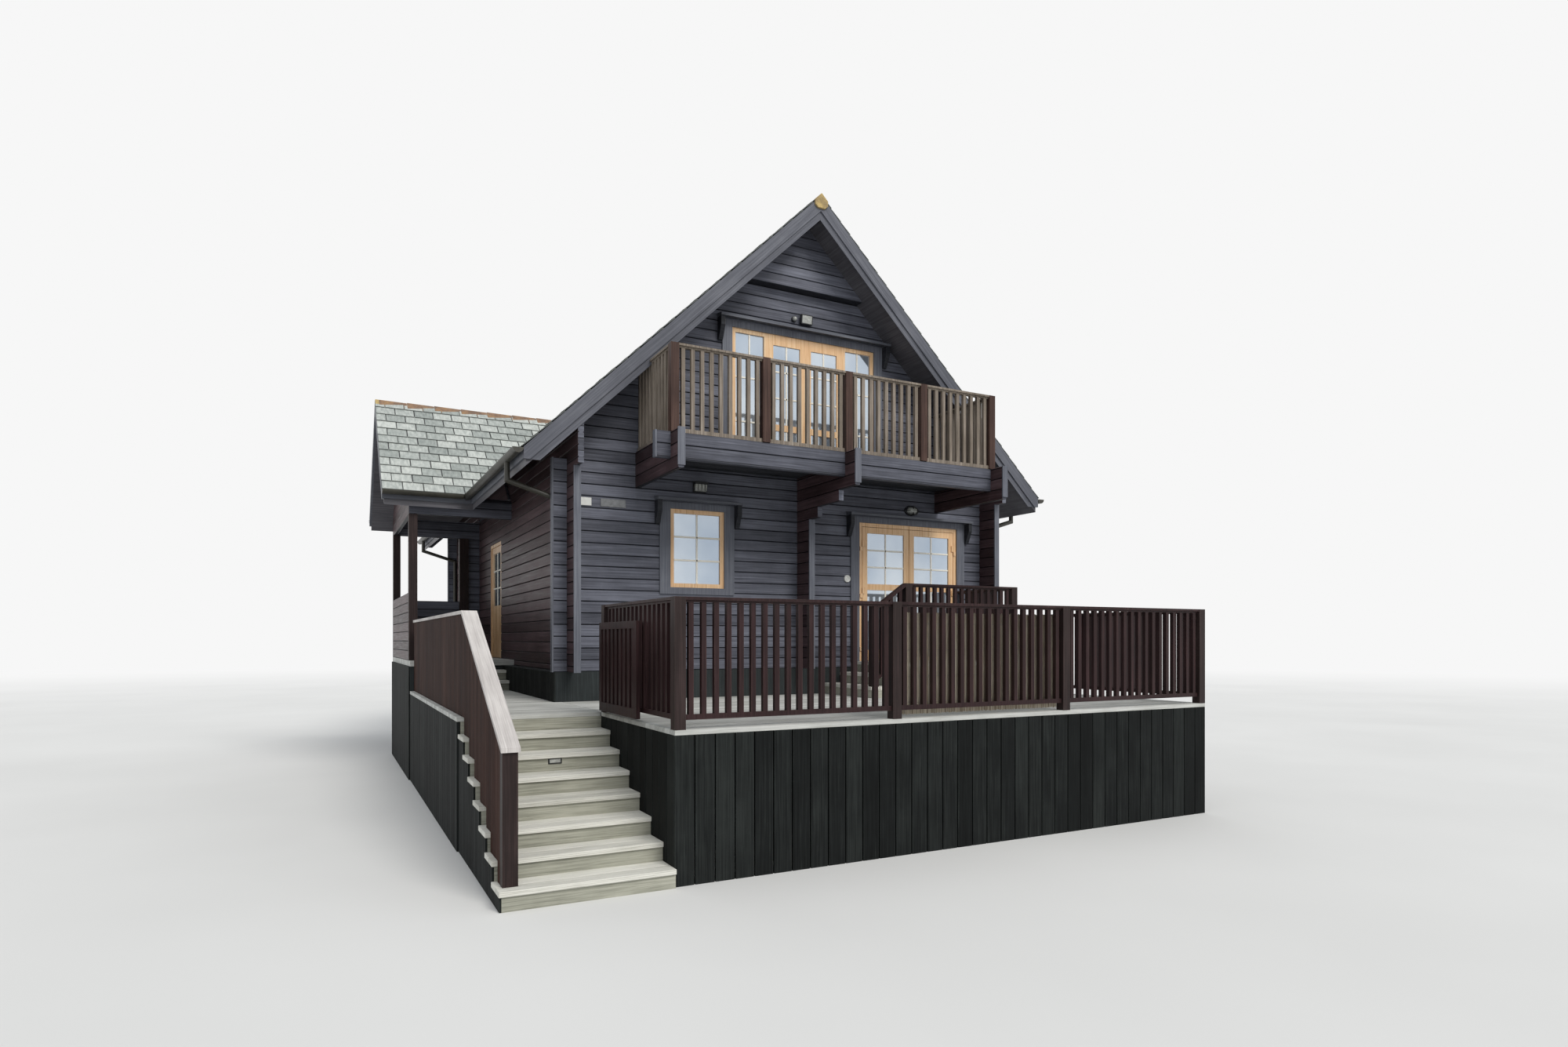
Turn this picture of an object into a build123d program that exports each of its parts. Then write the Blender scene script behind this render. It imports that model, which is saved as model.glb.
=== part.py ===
from build123d import *
from math import cos, radians, tan
import os

os.makedirs("parts", exist_ok=True)

# A timber holiday lodge: a log-built house under a steep gable roof, a log balcony carried on
# the ends of its cross walls, a side porch under a small cross roof, and a raised deck with stairs.
# Millimetres. X runs along the front, Y goes in from the front wall, Z is up from the ground.
# The datum is the outer face of the left wall, the outer face of the front wall and the ground.

# Levels
RISER = 165
RISES = 8
DECK_Z = RISES * RISER
STEP = 150
FLOOR_Z = DECK_Z + 3 * STEP
BASE_UP = 365
BASE_Z = DECK_Z + BASE_UP
UPPER_Z = 4400
BOARD = 45

# Log shell
LOG = 70
COURSE = 146
V_DEEP = 14
V_HALF = 10
HOUSE_W = 6590
HOUSE_D = 9800
STUB_Y = 347
STUB_X = 164
END_BOARD = 20
END_BOARD_W = 86
FLOOR_T = 150
PLINTH_OUT = 145
PLINTH_IN = 130
SPLIT_Z = BASE_Z + 18 * COURSE
CARRY_Z = BASE_Z + 17 * COURSE
JETTY_Z = BASE_Z + 36 * COURSE
JETTY = 150

# Main roof
PITCH = 44
EAVES_OUT = 605
VERGE = 557
BARGE_T = 30
REACH = VERGE - BARGE_T
ROOF_HALF = HOUSE_W / 2 + EAVES_OUT
EAVE_Z = 4310
BARGE_H = 205
BARGE_STRIP = 112
BARGE_CUT = 136
SLAB_T = 170
RIDGE_X = HOUSE_W / 2
SLOPE = tan(radians(PITCH))
ROOF_V = SLAB_T / cos(radians(PITCH))
RIDGE_Z = EAVE_Z + ROOF_HALF * SLOPE
COURSES = round((RIDGE_Z - BASE_Z) / COURSE)
EAVE_L = RIDGE_X - ROOF_HALF
EAVE_R = RIDGE_X + ROOF_HALF
FASCIA_T = 25
FASCIA_H = 150
GUTTER_R = 58
GUTTER_T = 4
GUTTER_SIDES = 24
RIDGE_TILE = 150
RIDGE_TILE_T = 22

# Cross roof over the porch
WING_RIDGE_Y = 5105
WING_HALF = 1760
WING_END = -1850
WING_RIDGE_Z = EAVE_Z + WING_HALF * SLOPE
WING_FRONT = WING_RIDGE_Y - WING_HALF
WING_BACK = WING_RIDGE_Y + WING_HALF

# Porch
PORCH_L = -1500
PORCH_IN = 155
PORCH_FRONT = WING_FRONT + PORCH_IN
PORCH_FLOOR_OUT = 210
PORCH_FLOOR_Y = PORCH_FRONT - PORCH_FLOOR_OUT
PORCH_GOING = 240
PORCH_STUB = 202
PORCH_POST_W = 164
PORCH_BACK = WING_RIDGE_Y + (WING_RIDGE_Y - PORCH_FRONT)
POST = 120
HALF_WALL = 1030
BEAM_Z = 3980
INFILL_T = 40

# Deck, landing and stairs
DECK_L = -54
DECK_OUT = 133
DECK_R = HOUSE_W + DECK_OUT
DECK_FRONT = -3837
STAIR_Y = -1669
GOING = 313
NOSING = 25
STAIR_L = -1490
LANDING_L = -1500
RISER_T = 25
JOIST = 45
JOIST_H = 145
JOISTS = 7
JOIST_IN = 60
PROP_IN = 400
SKIRT_T = 28
RAIL_H = 1127
GUARD_H = 1050
GUARD_X0, GUARD_X1 = -1445, -1325
GUARD_SKIN = 20
CAP_W = 150
CAP_T = 35
NEWEL_Y = -3780

# Railings
BALUSTER = 45
BALUSTER_PITCH = 120
RAIL_W = 90
RAIL_T = 45
HAND_T = 25
RAIL_POST = 100
FOOT_GAP = 80
REED_T = 15

# Balcony
BAL_Y = -1271
BAL_L = 875
BAL_IN = 886
BAL_R = HOUSE_W - BAL_IN
BAL_STUB = 240
LAP = 30
BAL_STUB_X = 170
BAL_BASE = BASE_Z + 16 * COURSE
BAL_TOP = 4480
FASCIA_LOGS_Z = 4168
BAL_DECK_T = 60
BAL_RAIL_Z = 5507
CORBEL_OFF = 64
CORBEL_X = RIDGE_X - CORBEL_OFF
CORBEL_1, CORBEL_2 = 578, 1120

# Openings in the walls
WIN_X0, WIN_X1, WIN_Z0, WIN_Z1 = 1343, 2109, 2766, 3791
DOORS_W, DOORS_Z1 = 1793, 3793
DOORS_IN = 538
DOORS_X1 = HOUSE_W - DOORS_IN
DOORS_X0 = DOORS_X1 - DOORS_W
DOORS_RAIL_Z = 2857
TOP_W = 0.5856 * ROOF_HALF
TOP_OFF = 73
TOP_X0 = RIDGE_X + TOP_OFF - TOP_W / 2
TOP_X1 = TOP_X0 + TOP_W
TOP_Z1 = EAVE_Z + 0.529 * (RIDGE_Z - EAVE_Z)
TOP_LIGHT_W = 0.2255 * TOP_W
TOP_LEAF_X0, TOP_LEAF_X1 = TOP_X0 + TOP_LIGHT_W, TOP_X1 - TOP_LIGHT_W
TOP_RAIL_UP = 620
TOP_RAIL_Z = UPPER_Z + TOP_RAIL_UP
ENTRY_Y0, ENTRY_Y1, ENTRY_Z1 = 4400, 5420, 3740
SIDE_WIN_W, SIDE_WIN_Y = 766, (1700, 4900, 8100)
BACK_WIN_OFF = 1500
BACK_TOP_CILL, BACK_TOP_H = 700, 1000
FRAME_T = 60
FRAME_W = 55
LEAF_T = 44
GLASS_T = 14
GAP = 6
MEET = 10
SWING = 8
SEAT = 0.3
TRIM_T = 22
TRIM_W = 88
TRIM_SIDE = 145
HOOD_OUT = 150
HOOD_RISE = 27
HOOD_T = 32
HOOD_LAP = 5
ARM_CLEAR = 5
ARM_W = 60
ARM_H = 300
ARM_NOSE = 120
ARM_FOOT = 45
ARM_BACK = 20

# Door leaves and their lift-off hinges
STILE = 88
FOOT_RAIL = 158
LEAF_LIFT = 8
HINGE_OUT = 12
HINGE_R = 6
HINGE_H = 90
HINGE_IN = 200
HINGE_T = 4
SEAT_H = 60
HINGE_PLATE = 40
ENTRY_FACE = 5
ENTRY_STILE = 106
ENTRY_PANEL_H = 900
ENTRY_PANEL_Z = FLOOR_Z + ENTRY_PANEL_H

# The raised landing outside the glazed doors
DAIS_L_OUT, DAIS_R_OUT = 59, 98
DAIS_X0, DAIS_X1, DAIS_Y = DOORS_X0 - DAIS_L_OUT, DOORS_X1 + DAIS_R_OUT, -1250
DAIS_GOING = 280
DAIS_RAIL = 1064

# Gate on two pins between eyes
GATE_T = 40
GATE_LIFT = 25
GATE_TOP = 939
GATE_STILE = 70
GATE_FOOT = 90
GATE_SLATS = 8
SLAT_W, SLAT_T = 66, 20
GATE_X = DECK_L - GATE_T / 2 - SWING
PIN_IN = 26
GATE_END = 16
PIN_R, PIN_H = 8, 80
PIN_SIDES = 8
EYE, EYE_T = 7, 6

# Pipes, lamps and plates
PIPE_R = 34
PIPE_SIDES = 16
PIPE_OUT = 12
PIPE_FALL = 200
CLIP = 24
GUTTER_DROP = 10
FLOOD_OFF, FLOOD_W, FLOOD_H, FLOOD_OUT = 60, 180, 150, 80
SENSOR_R, SENSOR_OUT = 38, 70
LAMP_OFF, LAMP_W, LAMP_H, LAMP_OUT = 29, 190, 140, 90
OVAL_OFF, OVAL_W, OVAL_H, OVAL_OUT = 39, 250, 150, 70
VENT_OFF, VENT_UP, VENT_R, VENT_OUT = 207, 198, 52, 30
PLATE_T, PLATE_H, PLATE_DROP = 12, 100, 40
NUMBER_W, NAME_W = 164, 326
LIGHT_W, LIGHT_H = 130, 55

# Size of the whole lodge, whose middle is the origin
X_MIN = WING_END - BARGE_T
X_MAX = EAVE_R + FASCIA_T + 2 * GUTTER_R + 2 * GUTTER_T
Y_MIN = STAIR_Y - (RISES - 1) * GOING - NOSING
Y_MAX = HOUSE_D + VERGE
MID_X = (X_MIN + X_MAX) / 2
MID_Y = (Y_MIN + Y_MAX) / 2


def block(x0, x1, y0, y1, z0, z1):
    """A block between two corners."""
    size = (x1 - x0, y1 - y0, z1 - z0)
    return Pos((x0 + x1) / 2 - MID_X, (y0 + y1) / 2 - MID_Y, (z0 + z1) / 2) * Box(*size)


def along_y(outline, y0, y1):
    """A closed outline of (x, z) corners, run from y0 to y1."""
    face = make_face(Polyline(*[(x - MID_X, z) for x, z in outline], close=True))
    return extrude(Plane.XZ.offset(MID_Y - y1) * face, amount=y1 - y0)


def along_x(outline, x0, x1):
    """A closed outline of (y, z) corners, run from x0 to x1."""
    face = make_face(Polyline(*[(y - MID_Y, z) for y, z in outline], close=True))
    return extrude(Plane.YZ.offset(x0 - MID_X) * face, amount=x1 - x0)


def joined(pieces):
    """The pieces fused into one shape."""
    shape = pieces[0]
    for piece in pieces[1:]:
        shape = shape + piece
    return shape


def save(name, *pieces):
    """Write one node; several pieces stay separate solids."""
    solids = [solid for piece in pieces for solid in piece.solids()]
    export_step(solids[0] if len(solids) == 1 else Compound(solids), f"parts/{name}.step")


def roof_top(x):
    """Height of the main roof's upper plane."""
    return EAVE_Z + (ROOF_HALF - abs(x - RIDGE_X)) * SLOPE


def roof_under(x):
    """Height of the main roof's lower plane."""
    return roof_top(x) - ROOF_V


def wing_top(y):
    """Height of the cross roof's upper plane."""
    return EAVE_Z + (WING_HALF - abs(y - WING_RIDGE_Y)) * SLOPE


def wing_under(y):
    """Height of the cross roof's lower plane."""
    return wing_top(y) - ROOF_V


def stack(near, far, z0, z1, start=BASE_Z, plain=False):
    """Outline (distance, z) across a wall of planed logs from its near face to its far one.

    The edges of every log are bevelled, so that a V joint runs along the near face at each course,
    and along the far face too unless that one is plain.
    """
    edge = [(V_DEEP, z0), (0, z0 + V_HALF)]
    for n in range(COURSES):
        z = start + n * COURSE
        if z0 + 2 * V_HALF < z < z1 - 2 * V_HALF:
            edge += [(0, z - V_HALF), (V_DEEP, z), (0, z + V_HALF)]
    edge += [(0, z1 - V_HALF), (V_DEEP, z1)]
    inward = 1 if far > near else -1
    back = [(0, z1), (0, z0)] if plain else reversed(edge)
    return [(near + inward * deep, z) for deep, z in edge] + [(far - inward * deep, z) for deep, z in back]


def logs_along_x(x0, x1, near, far, z0, z1):
    """A wall of logs that run along the front, plain on its inner, far face."""
    return along_x(stack(near, far, z0, z1, BASE_Z, True), x0, x1)


# Plinth of the house: a boarded base wall with a ledge for the floor and the door sills
outer = block(-PLINTH_OUT, HOUSE_W + PLINTH_OUT, -END_BOARD, HOUSE_D + END_BOARD, 0, BASE_Z)
ledge = FLOOR_Z - FLOOR_T
plinth = outer - block(PLINTH_IN, HOUSE_W - PLINTH_IN, PLINTH_IN, HOUSE_D - PLINTH_IN, 0, ledge)
plinth -= block(LOG, HOUSE_W - LOG, LOG, HOUSE_D - LOG, ledge, BASE_Z)
plinth += block(DOORS_X0, DOORS_X1, 0, LOG, BASE_Z, FLOOR_Z)
plinth += block(0, LOG, ENTRY_Y0, ENTRY_Y1, BASE_Z, FLOOR_Z)
save("plinth", plinth)

# Floors
inside = (LOG, HOUSE_W - LOG, LOG, HOUSE_D - LOG)
save("floors", block(*inside, ledge, FLOOR_Z), block(*inside, UPPER_Z - FLOOR_T, UPPER_Z))

# Front wall, split beside and over the glazed doors, with its crossed ends past the side walls
left = logs_along_x(LOG, DOORS_X0, 0, LOG, BASE_Z, SPLIT_Z) - block(WIN_X0, WIN_X1, 0, LOG, WIN_Z0, WIN_Z1)
save("front_wall_left", left, logs_along_x(-STUB_X, 0, 0, LOG, BASE_Z, SPLIT_Z))
save("front_wall_over_doors", logs_along_x(DOORS_X0, DOORS_X1, 0, LOG, DOORS_Z1, SPLIT_Z))
right = logs_along_x(DOORS_X1, HOUSE_W - LOG, 0, LOG, BASE_Z, SPLIT_Z)
save("front_wall_right", right, logs_along_x(HOUSE_W, HOUSE_W + STUB_X, 0, LOG, BASE_Z, SPLIT_Z))

# Gable walls up to the underside of the roof; the top courses of the front one stand out
edge = HOUSE_W - LOG
gable = [(LOG, SPLIT_Z), (edge, SPLIT_Z), (edge, roof_under(edge))]
gable += [(RIDGE_X, roof_under(RIDGE_X)), (LOG, roof_under(LOG))]
outline = along_y(gable, -JETTY, LOG)
gable_front = outline & logs_along_x(LOG, edge, 0, LOG, SPLIT_Z, JETTY_Z)
gable_front += outline & logs_along_x(LOG, edge, -JETTY, LOG, JETTY_Z, RIDGE_Z)
save("gable_front", gable_front - block(TOP_X0, TOP_X1, 0, LOG, UPPER_Z, TOP_Z1))
back_win = []
for centre in (RIDGE_X - BACK_WIN_OFF, RIDGE_X + BACK_WIN_OFF):
    back_win.append((centre - SIDE_WIN_W / 2, centre + SIDE_WIN_W / 2))
back_top = (RIDGE_X - SIDE_WIN_W / 2, RIDGE_X + SIDE_WIN_W / 2)
BACK_TOP_Z = (UPPER_Z + BACK_TOP_CILL, UPPER_Z + BACK_TOP_CILL + BACK_TOP_H)

# Back wall and its gable in one
whole = [(LOG, BASE_Z), (edge, BASE_Z)] + gable[2:]
back = along_y(whole, HOUSE_D - LOG, HOUSE_D)
back &= logs_along_x(LOG, edge, HOUSE_D, HOUSE_D - LOG, BASE_Z, RIDGE_Z)
back -= block(*back_top, HOUSE_D - LOG, HOUSE_D, *BACK_TOP_Z)
for x0, x1 in back_win:
    back -= block(x0, x1, HOUSE_D - LOG, HOUSE_D, WIN_Z0, WIN_Z1)
stubs = [logs_along_x(x, x + STUB_X, HOUSE_D, HOUSE_D - LOG, BASE_Z, SPLIT_Z) for x in (-STUB_X, HOUSE_W)]
save("back_wall", back, *stubs)

# Side walls: the top courses run on to carry the roof's verge


def side_logs(x0, low, plain):
    """Outline of a side wall's logs above low, plain on the inner face or jointed on both."""
    faces = (x0, x0 + LOG) if x0 < RIDGE_X else (x0 + LOG, x0)
    return stack(*faces, low, RIDGE_Z, BASE_Z - COURSE / 2, plain)


def side_wall(x0, y0, y1):
    """A stretch of side wall with its top cut to the roof slope; its courses lie half a log lower."""
    top = [(x0, BASE_Z), (x0 + LOG, BASE_Z), (x0 + LOG, roof_under(x0 + LOG)), (x0, roof_under(x0))]
    return along_y(top, y0, y1) & along_y(side_logs(x0, BASE_Z, True), y0, y1)


def side_stub(x0, y0, y1):
    """The crossed ends of a side wall, past the front or back wall, whose two faces both show."""
    top = [(x0, BASE_Z), (x0 + LOG, BASE_Z), (x0 + LOG, roof_under(x0 + LOG)), (x0, roof_under(x0))]
    return along_y(top, y0, y1) & along_y(side_logs(x0, BASE_Z, False), y0, y1)


def carried(x0, y0, y1):
    """The reach of the top courses beyond the lower ones."""
    top = [(x0, CARRY_Z), (x0 + LOG, CARRY_Z), (x0 + LOG, roof_under(x0 + LOG)), (x0, roof_under(x0))]
    return along_y(top, y0, y1) & along_y(side_logs(x0, CARRY_Z, False), y0, y1)


front_reach = carried(0, -REACH, -STUB_Y)
back_reach = carried(0, HOUSE_D + STUB_Y, HOUSE_D + REACH)
save("left_wall_front", side_wall(0, 0, ENTRY_Y0) + side_stub(0, -STUB_Y, 0) + front_reach)
over = [(0, ENTRY_Z1), (LOG, ENTRY_Z1), (LOG, roof_under(LOG)), (0, roof_under(0))]
over_door = along_y(over, ENTRY_Y0, ENTRY_Y1)
save("left_wall_over_door", over_door & along_y(side_logs(0, ENTRY_Z1, True), ENTRY_Y0, ENTRY_Y1))
left_back = side_wall(0, ENTRY_Y1, HOUSE_D) + side_stub(0, HOUSE_D, HOUSE_D + STUB_Y)
save("left_wall_back", left_back + back_reach)
right_x = HOUSE_W - LOG
right_wall = side_wall(right_x, 0, HOUSE_D)
right_wall += side_stub(right_x, -STUB_Y, 0) + side_stub(right_x, HOUSE_D, HOUSE_D + STUB_Y)
right_wall += carried(right_x, -REACH, -STUB_Y) + carried(right_x, HOUSE_D + STUB_Y, HOUSE_D + REACH)
for y in SIDE_WIN_Y:
    right_wall -= block(right_x, HOUSE_W, y - SIDE_WIN_W / 2, y + SIDE_WIN_W / 2, WIN_Z0, WIN_Z1)
save("right_wall", right_wall)

# Boards that cover the log ends at the four corners
covers = []
for x0 in (0, right_x):
    side = x0 + LOG / 2 - END_BOARD_W / 2
    for face in (-STUB_Y, HOUSE_D + STUB_Y + END_BOARD):
        covers.append(block(side, side + END_BOARD_W, face - END_BOARD, face, BASE_Z, CARRY_Z))
for y0 in (0, HOUSE_D - LOG):
    side = y0 + LOG / 2 - END_BOARD_W / 2
    for face in (-STUB_X, HOUSE_W + STUB_X + END_BOARD):
        covers.append(block(face - END_BOARD, face, side, side + END_BOARD_W, BASE_Z, SPLIT_Z))

# Main roof slopes; the left one is open where the cross roof covers the porch
slope_l = [(RIDGE_X, RIDGE_Z), (EAVE_L, EAVE_Z), (EAVE_L, EAVE_Z - ROOF_V), (RIDGE_X, RIDGE_Z - ROOF_V)]
slope_r = [(2 * RIDGE_X - x, z) for x, z in slope_l]
left_slope = along_y(slope_l, -REACH, HOUSE_D + REACH)
under_wing = [(WING_FRONT, 0), (WING_FRONT, wing_under(WING_FRONT))]
under_wing += [(WING_RIDGE_Y, wing_under(WING_RIDGE_Y)), (WING_BACK, wing_under(WING_BACK)), (WING_BACK, 0)]
left_slope -= along_x(under_wing, EAVE_L - FASCIA_T, 0)
save("left_roof_slope", left_slope)
save("right_roof_slope", along_y(slope_r, -REACH, HOUSE_D + REACH))

# Cross roof slopes, cut to the main roof's upper plane
under_main = [(EAVE_L, 0), (EAVE_L, EAVE_Z), (RIDGE_X, RIDGE_Z), (RIDGE_X, 0)]
main_body = along_y(under_main, WING_FRONT - FASCIA_T, WING_BACK + FASCIA_T)
wing_reach = EAVE_L + (WING_RIDGE_Z - EAVE_Z) / SLOPE
for name, side in (("front", -1), ("back", 1)):
    low = WING_RIDGE_Y + side * WING_HALF
    outline = [(WING_RIDGE_Y, WING_RIDGE_Z), (low, EAVE_Z), (low, EAVE_Z - ROOF_V)]
    outline += [(WING_RIDGE_Y, WING_RIDGE_Z - ROOF_V)]
    save(f"porch_roof_{name}", along_x(outline, WING_END, wing_reach) - main_body)


# Barge boards: a deep board over a thinner strip, cut level at the eaves
def barge(side, y_face, y_in):
    """One raking board of the main gable, from the ridge to the eave on one side."""
    out = RIDGE_X + side * (ROOF_HALF + FASCIA_T)
    drop = FASCIA_T * SLOPE
    board = [(RIDGE_X, RIDGE_Z), (out, EAVE_Z - drop)]
    board += [(out, EAVE_Z - drop - BARGE_H), (RIDGE_X, RIDGE_Z - BARGE_H)]
    strip = [(x, z - BARGE_H) for x, z in board[:2]]
    strip += [(out, EAVE_Z - drop - BARGE_H - BARGE_STRIP), (RIDGE_X, RIDGE_Z - BARGE_H - BARGE_STRIP)]
    middle = (y_face + 2 * y_in) / 3
    shape = along_y(board, min(y_face, y_in), max(y_face, y_in))
    shape += along_y(strip, min(middle, y_in), max(middle, y_in))
    cut = EAVE_Z - drop - BARGE_CUT
    below = block(min(out, RIDGE_X) - 1, max(out, RIDGE_X) + 1, y_face - VERGE, y_face + VERGE, 0, cut)
    return shape - below


barges = []
for y_face, y_in in ((-VERGE, -REACH), (HOUSE_D + VERGE, HOUSE_D + REACH)):
    barges.append(barge(-1, y_face, y_in) + barge(1, y_face, y_in))
wing_barge = []
for side in (-1, 1):
    low = WING_RIDGE_Y + side * (WING_HALF + FASCIA_T)
    drop = FASCIA_T * SLOPE
    outline = [(WING_RIDGE_Y, WING_RIDGE_Z), (low, EAVE_Z - drop), (low, EAVE_Z - drop - BARGE_CUT)]
    outline += [(low - side * (BARGE_H - BARGE_CUT) / SLOPE, EAVE_Z - drop - BARGE_CUT)]
    outline += [(WING_RIDGE_Y, WING_RIDGE_Z - BARGE_H)]
    wing_barge.append(along_x(outline, WING_END - BARGE_T, WING_END))
save("barge_boards", *barges, joined(wing_barge))


# Ridge tiles: an angled cap with a six-sided end
def ridge_cap(run, x0, x1):
    """An angled ridge cap made by one of the two extruding functions, centred on 0."""
    arm = RIDGE_TILE * cos(radians(PITCH))
    rise = RIDGE_TILE_T / cos(radians(PITCH))
    centre = RIDGE_X if run is along_y else WING_RIDGE_Y
    peak = RIDGE_Z if run is along_y else WING_RIDGE_Z
    low = peak - arm * SLOPE
    outline = [(centre, peak), (centre + arm, low), (centre + arm, low + rise)]
    outline += [(centre, peak + rise), (centre - arm, low + rise), (centre - arm, low)]
    return run(outline, x0, x1)


cap_clear = RIDGE_TILE_T / cos(radians(PITCH)) / SLOPE
porch_cap = ridge_cap(along_x, WING_END - BARGE_T, wing_reach + cap_clear) - main_body
save("ridge_tiles", ridge_cap(along_y, -VERGE, HOUSE_D + VERGE), porch_cap)

# Eaves boards behind the gutters
fascias = []
for x0 in (EAVE_L - FASCIA_T, EAVE_R):
    low = EAVE_Z - FASCIA_H
    runs = [(-REACH, HOUSE_D + REACH)]
    if x0 < 0:
        runs = [(-REACH, WING_FRONT - FASCIA_T), (WING_BACK + FASCIA_T, HOUSE_D + REACH)]
    fascias += [block(x0, x0 + FASCIA_T, y0, y1, low, EAVE_Z - FASCIA_T * SLOPE) for y0, y1 in runs]
for y0 in (WING_FRONT - FASCIA_T, WING_BACK):
    fascias.append(block(WING_END, EAVE_L, y0, y0 + FASCIA_T, EAVE_Z - FASCIA_H, EAVE_Z - FASCIA_T * SLOPE))
save("eaves_boards", *fascias)

# Window frames and glass
def window(y0, y1, x0, x1, z0, z1, posts=()):
    """A frame round an opening in a wall that runs along X, and its sheets of glass."""
    frame = block(x0, x1, y0, y1, z0, z1)
    marks = [x0 + FRAME_W / 2, *posts, x1 - FRAME_W / 2]
    panes = []
    middle = (y0 + y1) / 2
    for a, b in zip(marks, marks[1:]):
        cell = (a + FRAME_W / 2, b - FRAME_W / 2)
        frame -= block(*cell, y0, y1, z0 + FRAME_W, z1 - FRAME_W)
        panes.append(block(*cell, middle - GLASS_T / 2, middle + GLASS_T / 2, z0 + FRAME_W, z1 - FRAME_W))
    return frame, panes


frame, panes = window(0, FRAME_T, WIN_X0, WIN_X1, WIN_Z0, WIN_Z1)
frames = [frame]
for x0, x1 in back_win:
    frame, glass = window(HOUSE_D - FRAME_T, HOUSE_D, x0, x1, WIN_Z0, WIN_Z1)
    frames.append(frame)
    panes += glass
frame, glass = window(HOUSE_D - FRAME_T, HOUSE_D, *back_top, *BACK_TOP_Z)
frames.append(frame)
panes += glass
for y in SIDE_WIN_Y:
    low, high = y - SIDE_WIN_W / 2, y + SIDE_WIN_W / 2
    frame = block(HOUSE_W - FRAME_T, HOUSE_W, low, high, WIN_Z0, WIN_Z1)
    cell = (low + FRAME_W, high - FRAME_W, WIN_Z0 + FRAME_W, WIN_Z1 - FRAME_W)
    frames.append(frame - block(HOUSE_W - FRAME_T, HOUSE_W, *cell))
    middle = HOUSE_W - FRAME_T / 2
    panes.append(block(middle - GLASS_T / 2, middle + GLASS_T / 2, *cell))
save("window_frames", *frames)

# Upper window set: two fixed lights beside a pair of closed door leaves
frame = block(TOP_X0, TOP_X1, 0, FRAME_T, UPPER_Z, TOP_Z1)
inner_z = (UPPER_Z + FRAME_W, TOP_Z1 - FRAME_W)
lights = ((TOP_X0 + FRAME_W, TOP_LEAF_X0 - FRAME_W / 2), (TOP_LEAF_X1 + FRAME_W / 2, TOP_X1 - FRAME_W))
for light in lights:
    frame -= block(*light, 0, FRAME_T, *inner_z)
    panes.append(block(*light, FRAME_T / 2 - GLASS_T / 2, FRAME_T / 2 + GLASS_T / 2, *inner_z))
way = (TOP_LEAF_X0 + FRAME_W / 2, TOP_LEAF_X1 - FRAME_W / 2)
frame -= block(*way, 0, FRAME_T, UPPER_Z, inner_z[1])



def glazed_leaf(x0, x1, z0, z1, mid_z, stile):
    """A door leaf in a wall along X, glazed over and under a middle rail, and its glass."""
    leaf = block(x0, x1, 0, LEAF_T, z0, z1)
    sheets = []
    for low, high in ((z0 + FOOT_RAIL, mid_z - stile / 2), (mid_z + stile / 2, z1 - stile)):
        leaf -= block(x0 + stile, x1 - stile, 0, LEAF_T, low, high)
        face = (LEAF_T / 2 - GLASS_T / 2, LEAF_T / 2 + GLASS_T / 2)
        sheets.append(block(x0 + stile, x1 - stile, *face, low, high))
    return leaf, sheets


mid_x = (way[0] + way[1]) / 2
for x0, x1 in ((way[0], mid_x), (mid_x, way[1])):
    leaf, sheets = glazed_leaf(x0, x1, UPPER_Z, inner_z[1], TOP_RAIL_Z, STILE)
    frame += leaf
    panes += sheets
save("upper_window_set", frame)
save("window_glass", *panes)


# Glazed doors to the deck: a frame and two leaves that open outwards
door_top = DOORS_Z1 - FRAME_W
frame = block(DOORS_X0, DOORS_X1, 0, FRAME_T, FLOOR_Z, DOORS_Z1)
frame -= block(DOORS_X0 + FRAME_W, DOORS_X1 - FRAME_W, 0, FRAME_T, FLOOR_Z, door_top)
doors_mid = (DOORS_X0 + DOORS_X1) / 2


def pin(x, y, z0, z1, r):
    """A small upright bar, which is round on the real lodge and has a few flat sides here."""
    return Pos(x - MID_X, y - MID_Y, z0) * extrude(RegularPolygon(r, PIN_SIDES), z1 - z0)


def knuckle(x, side, z0, z1, edge):
    """Half a lift-off hinge in front of the wall: a barrel, and a plate back to the wood at one side."""
    far = x + side * HINGE_PLATE
    barrel = pin(x, -HINGE_OUT, z0, z1, HINGE_R)
    barrel += block(min(x, far), max(x, far), -HINGE_OUT - HINGE_T / 2, -HINGE_OUT + HINGE_T / 2, z0, z1)
    return barrel + block(min(edge, far), max(edge, far), -HINGE_OUT, 0, z0, z1)


for name, hinge_x, free_x, side in (
    ("left", DOORS_X0 + FRAME_W, doors_mid - MEET / 2, 1),
    ("right", DOORS_X1 - FRAME_W, doors_mid + MEET / 2, -1),
):
    near = hinge_x + side * GAP
    z0, z1 = FLOOR_Z + LEAF_LIFT, door_top - GAP
    leaf, sheets = glazed_leaf(min(near, free_x), max(near, free_x), z0, z1, DOORS_RAIL_Z, STILE)
    axis_x = hinge_x + side * GAP / 2
    for z in (z0 + HINGE_IN, (z0 + z1) / 2, z1 - HINGE_IN - HINGE_H):
        leaf += knuckle(axis_x, side, z, z + HINGE_H, near)
        frame += knuckle(axis_x, -side, z - SEAT - SEAT_H, z - SEAT, hinge_x)
    save(f"glazed_door_{name}", leaf)
    save(f"glazed_door_{name}_glass", *sheets)
save("glazed_door_frame", frame)

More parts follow.
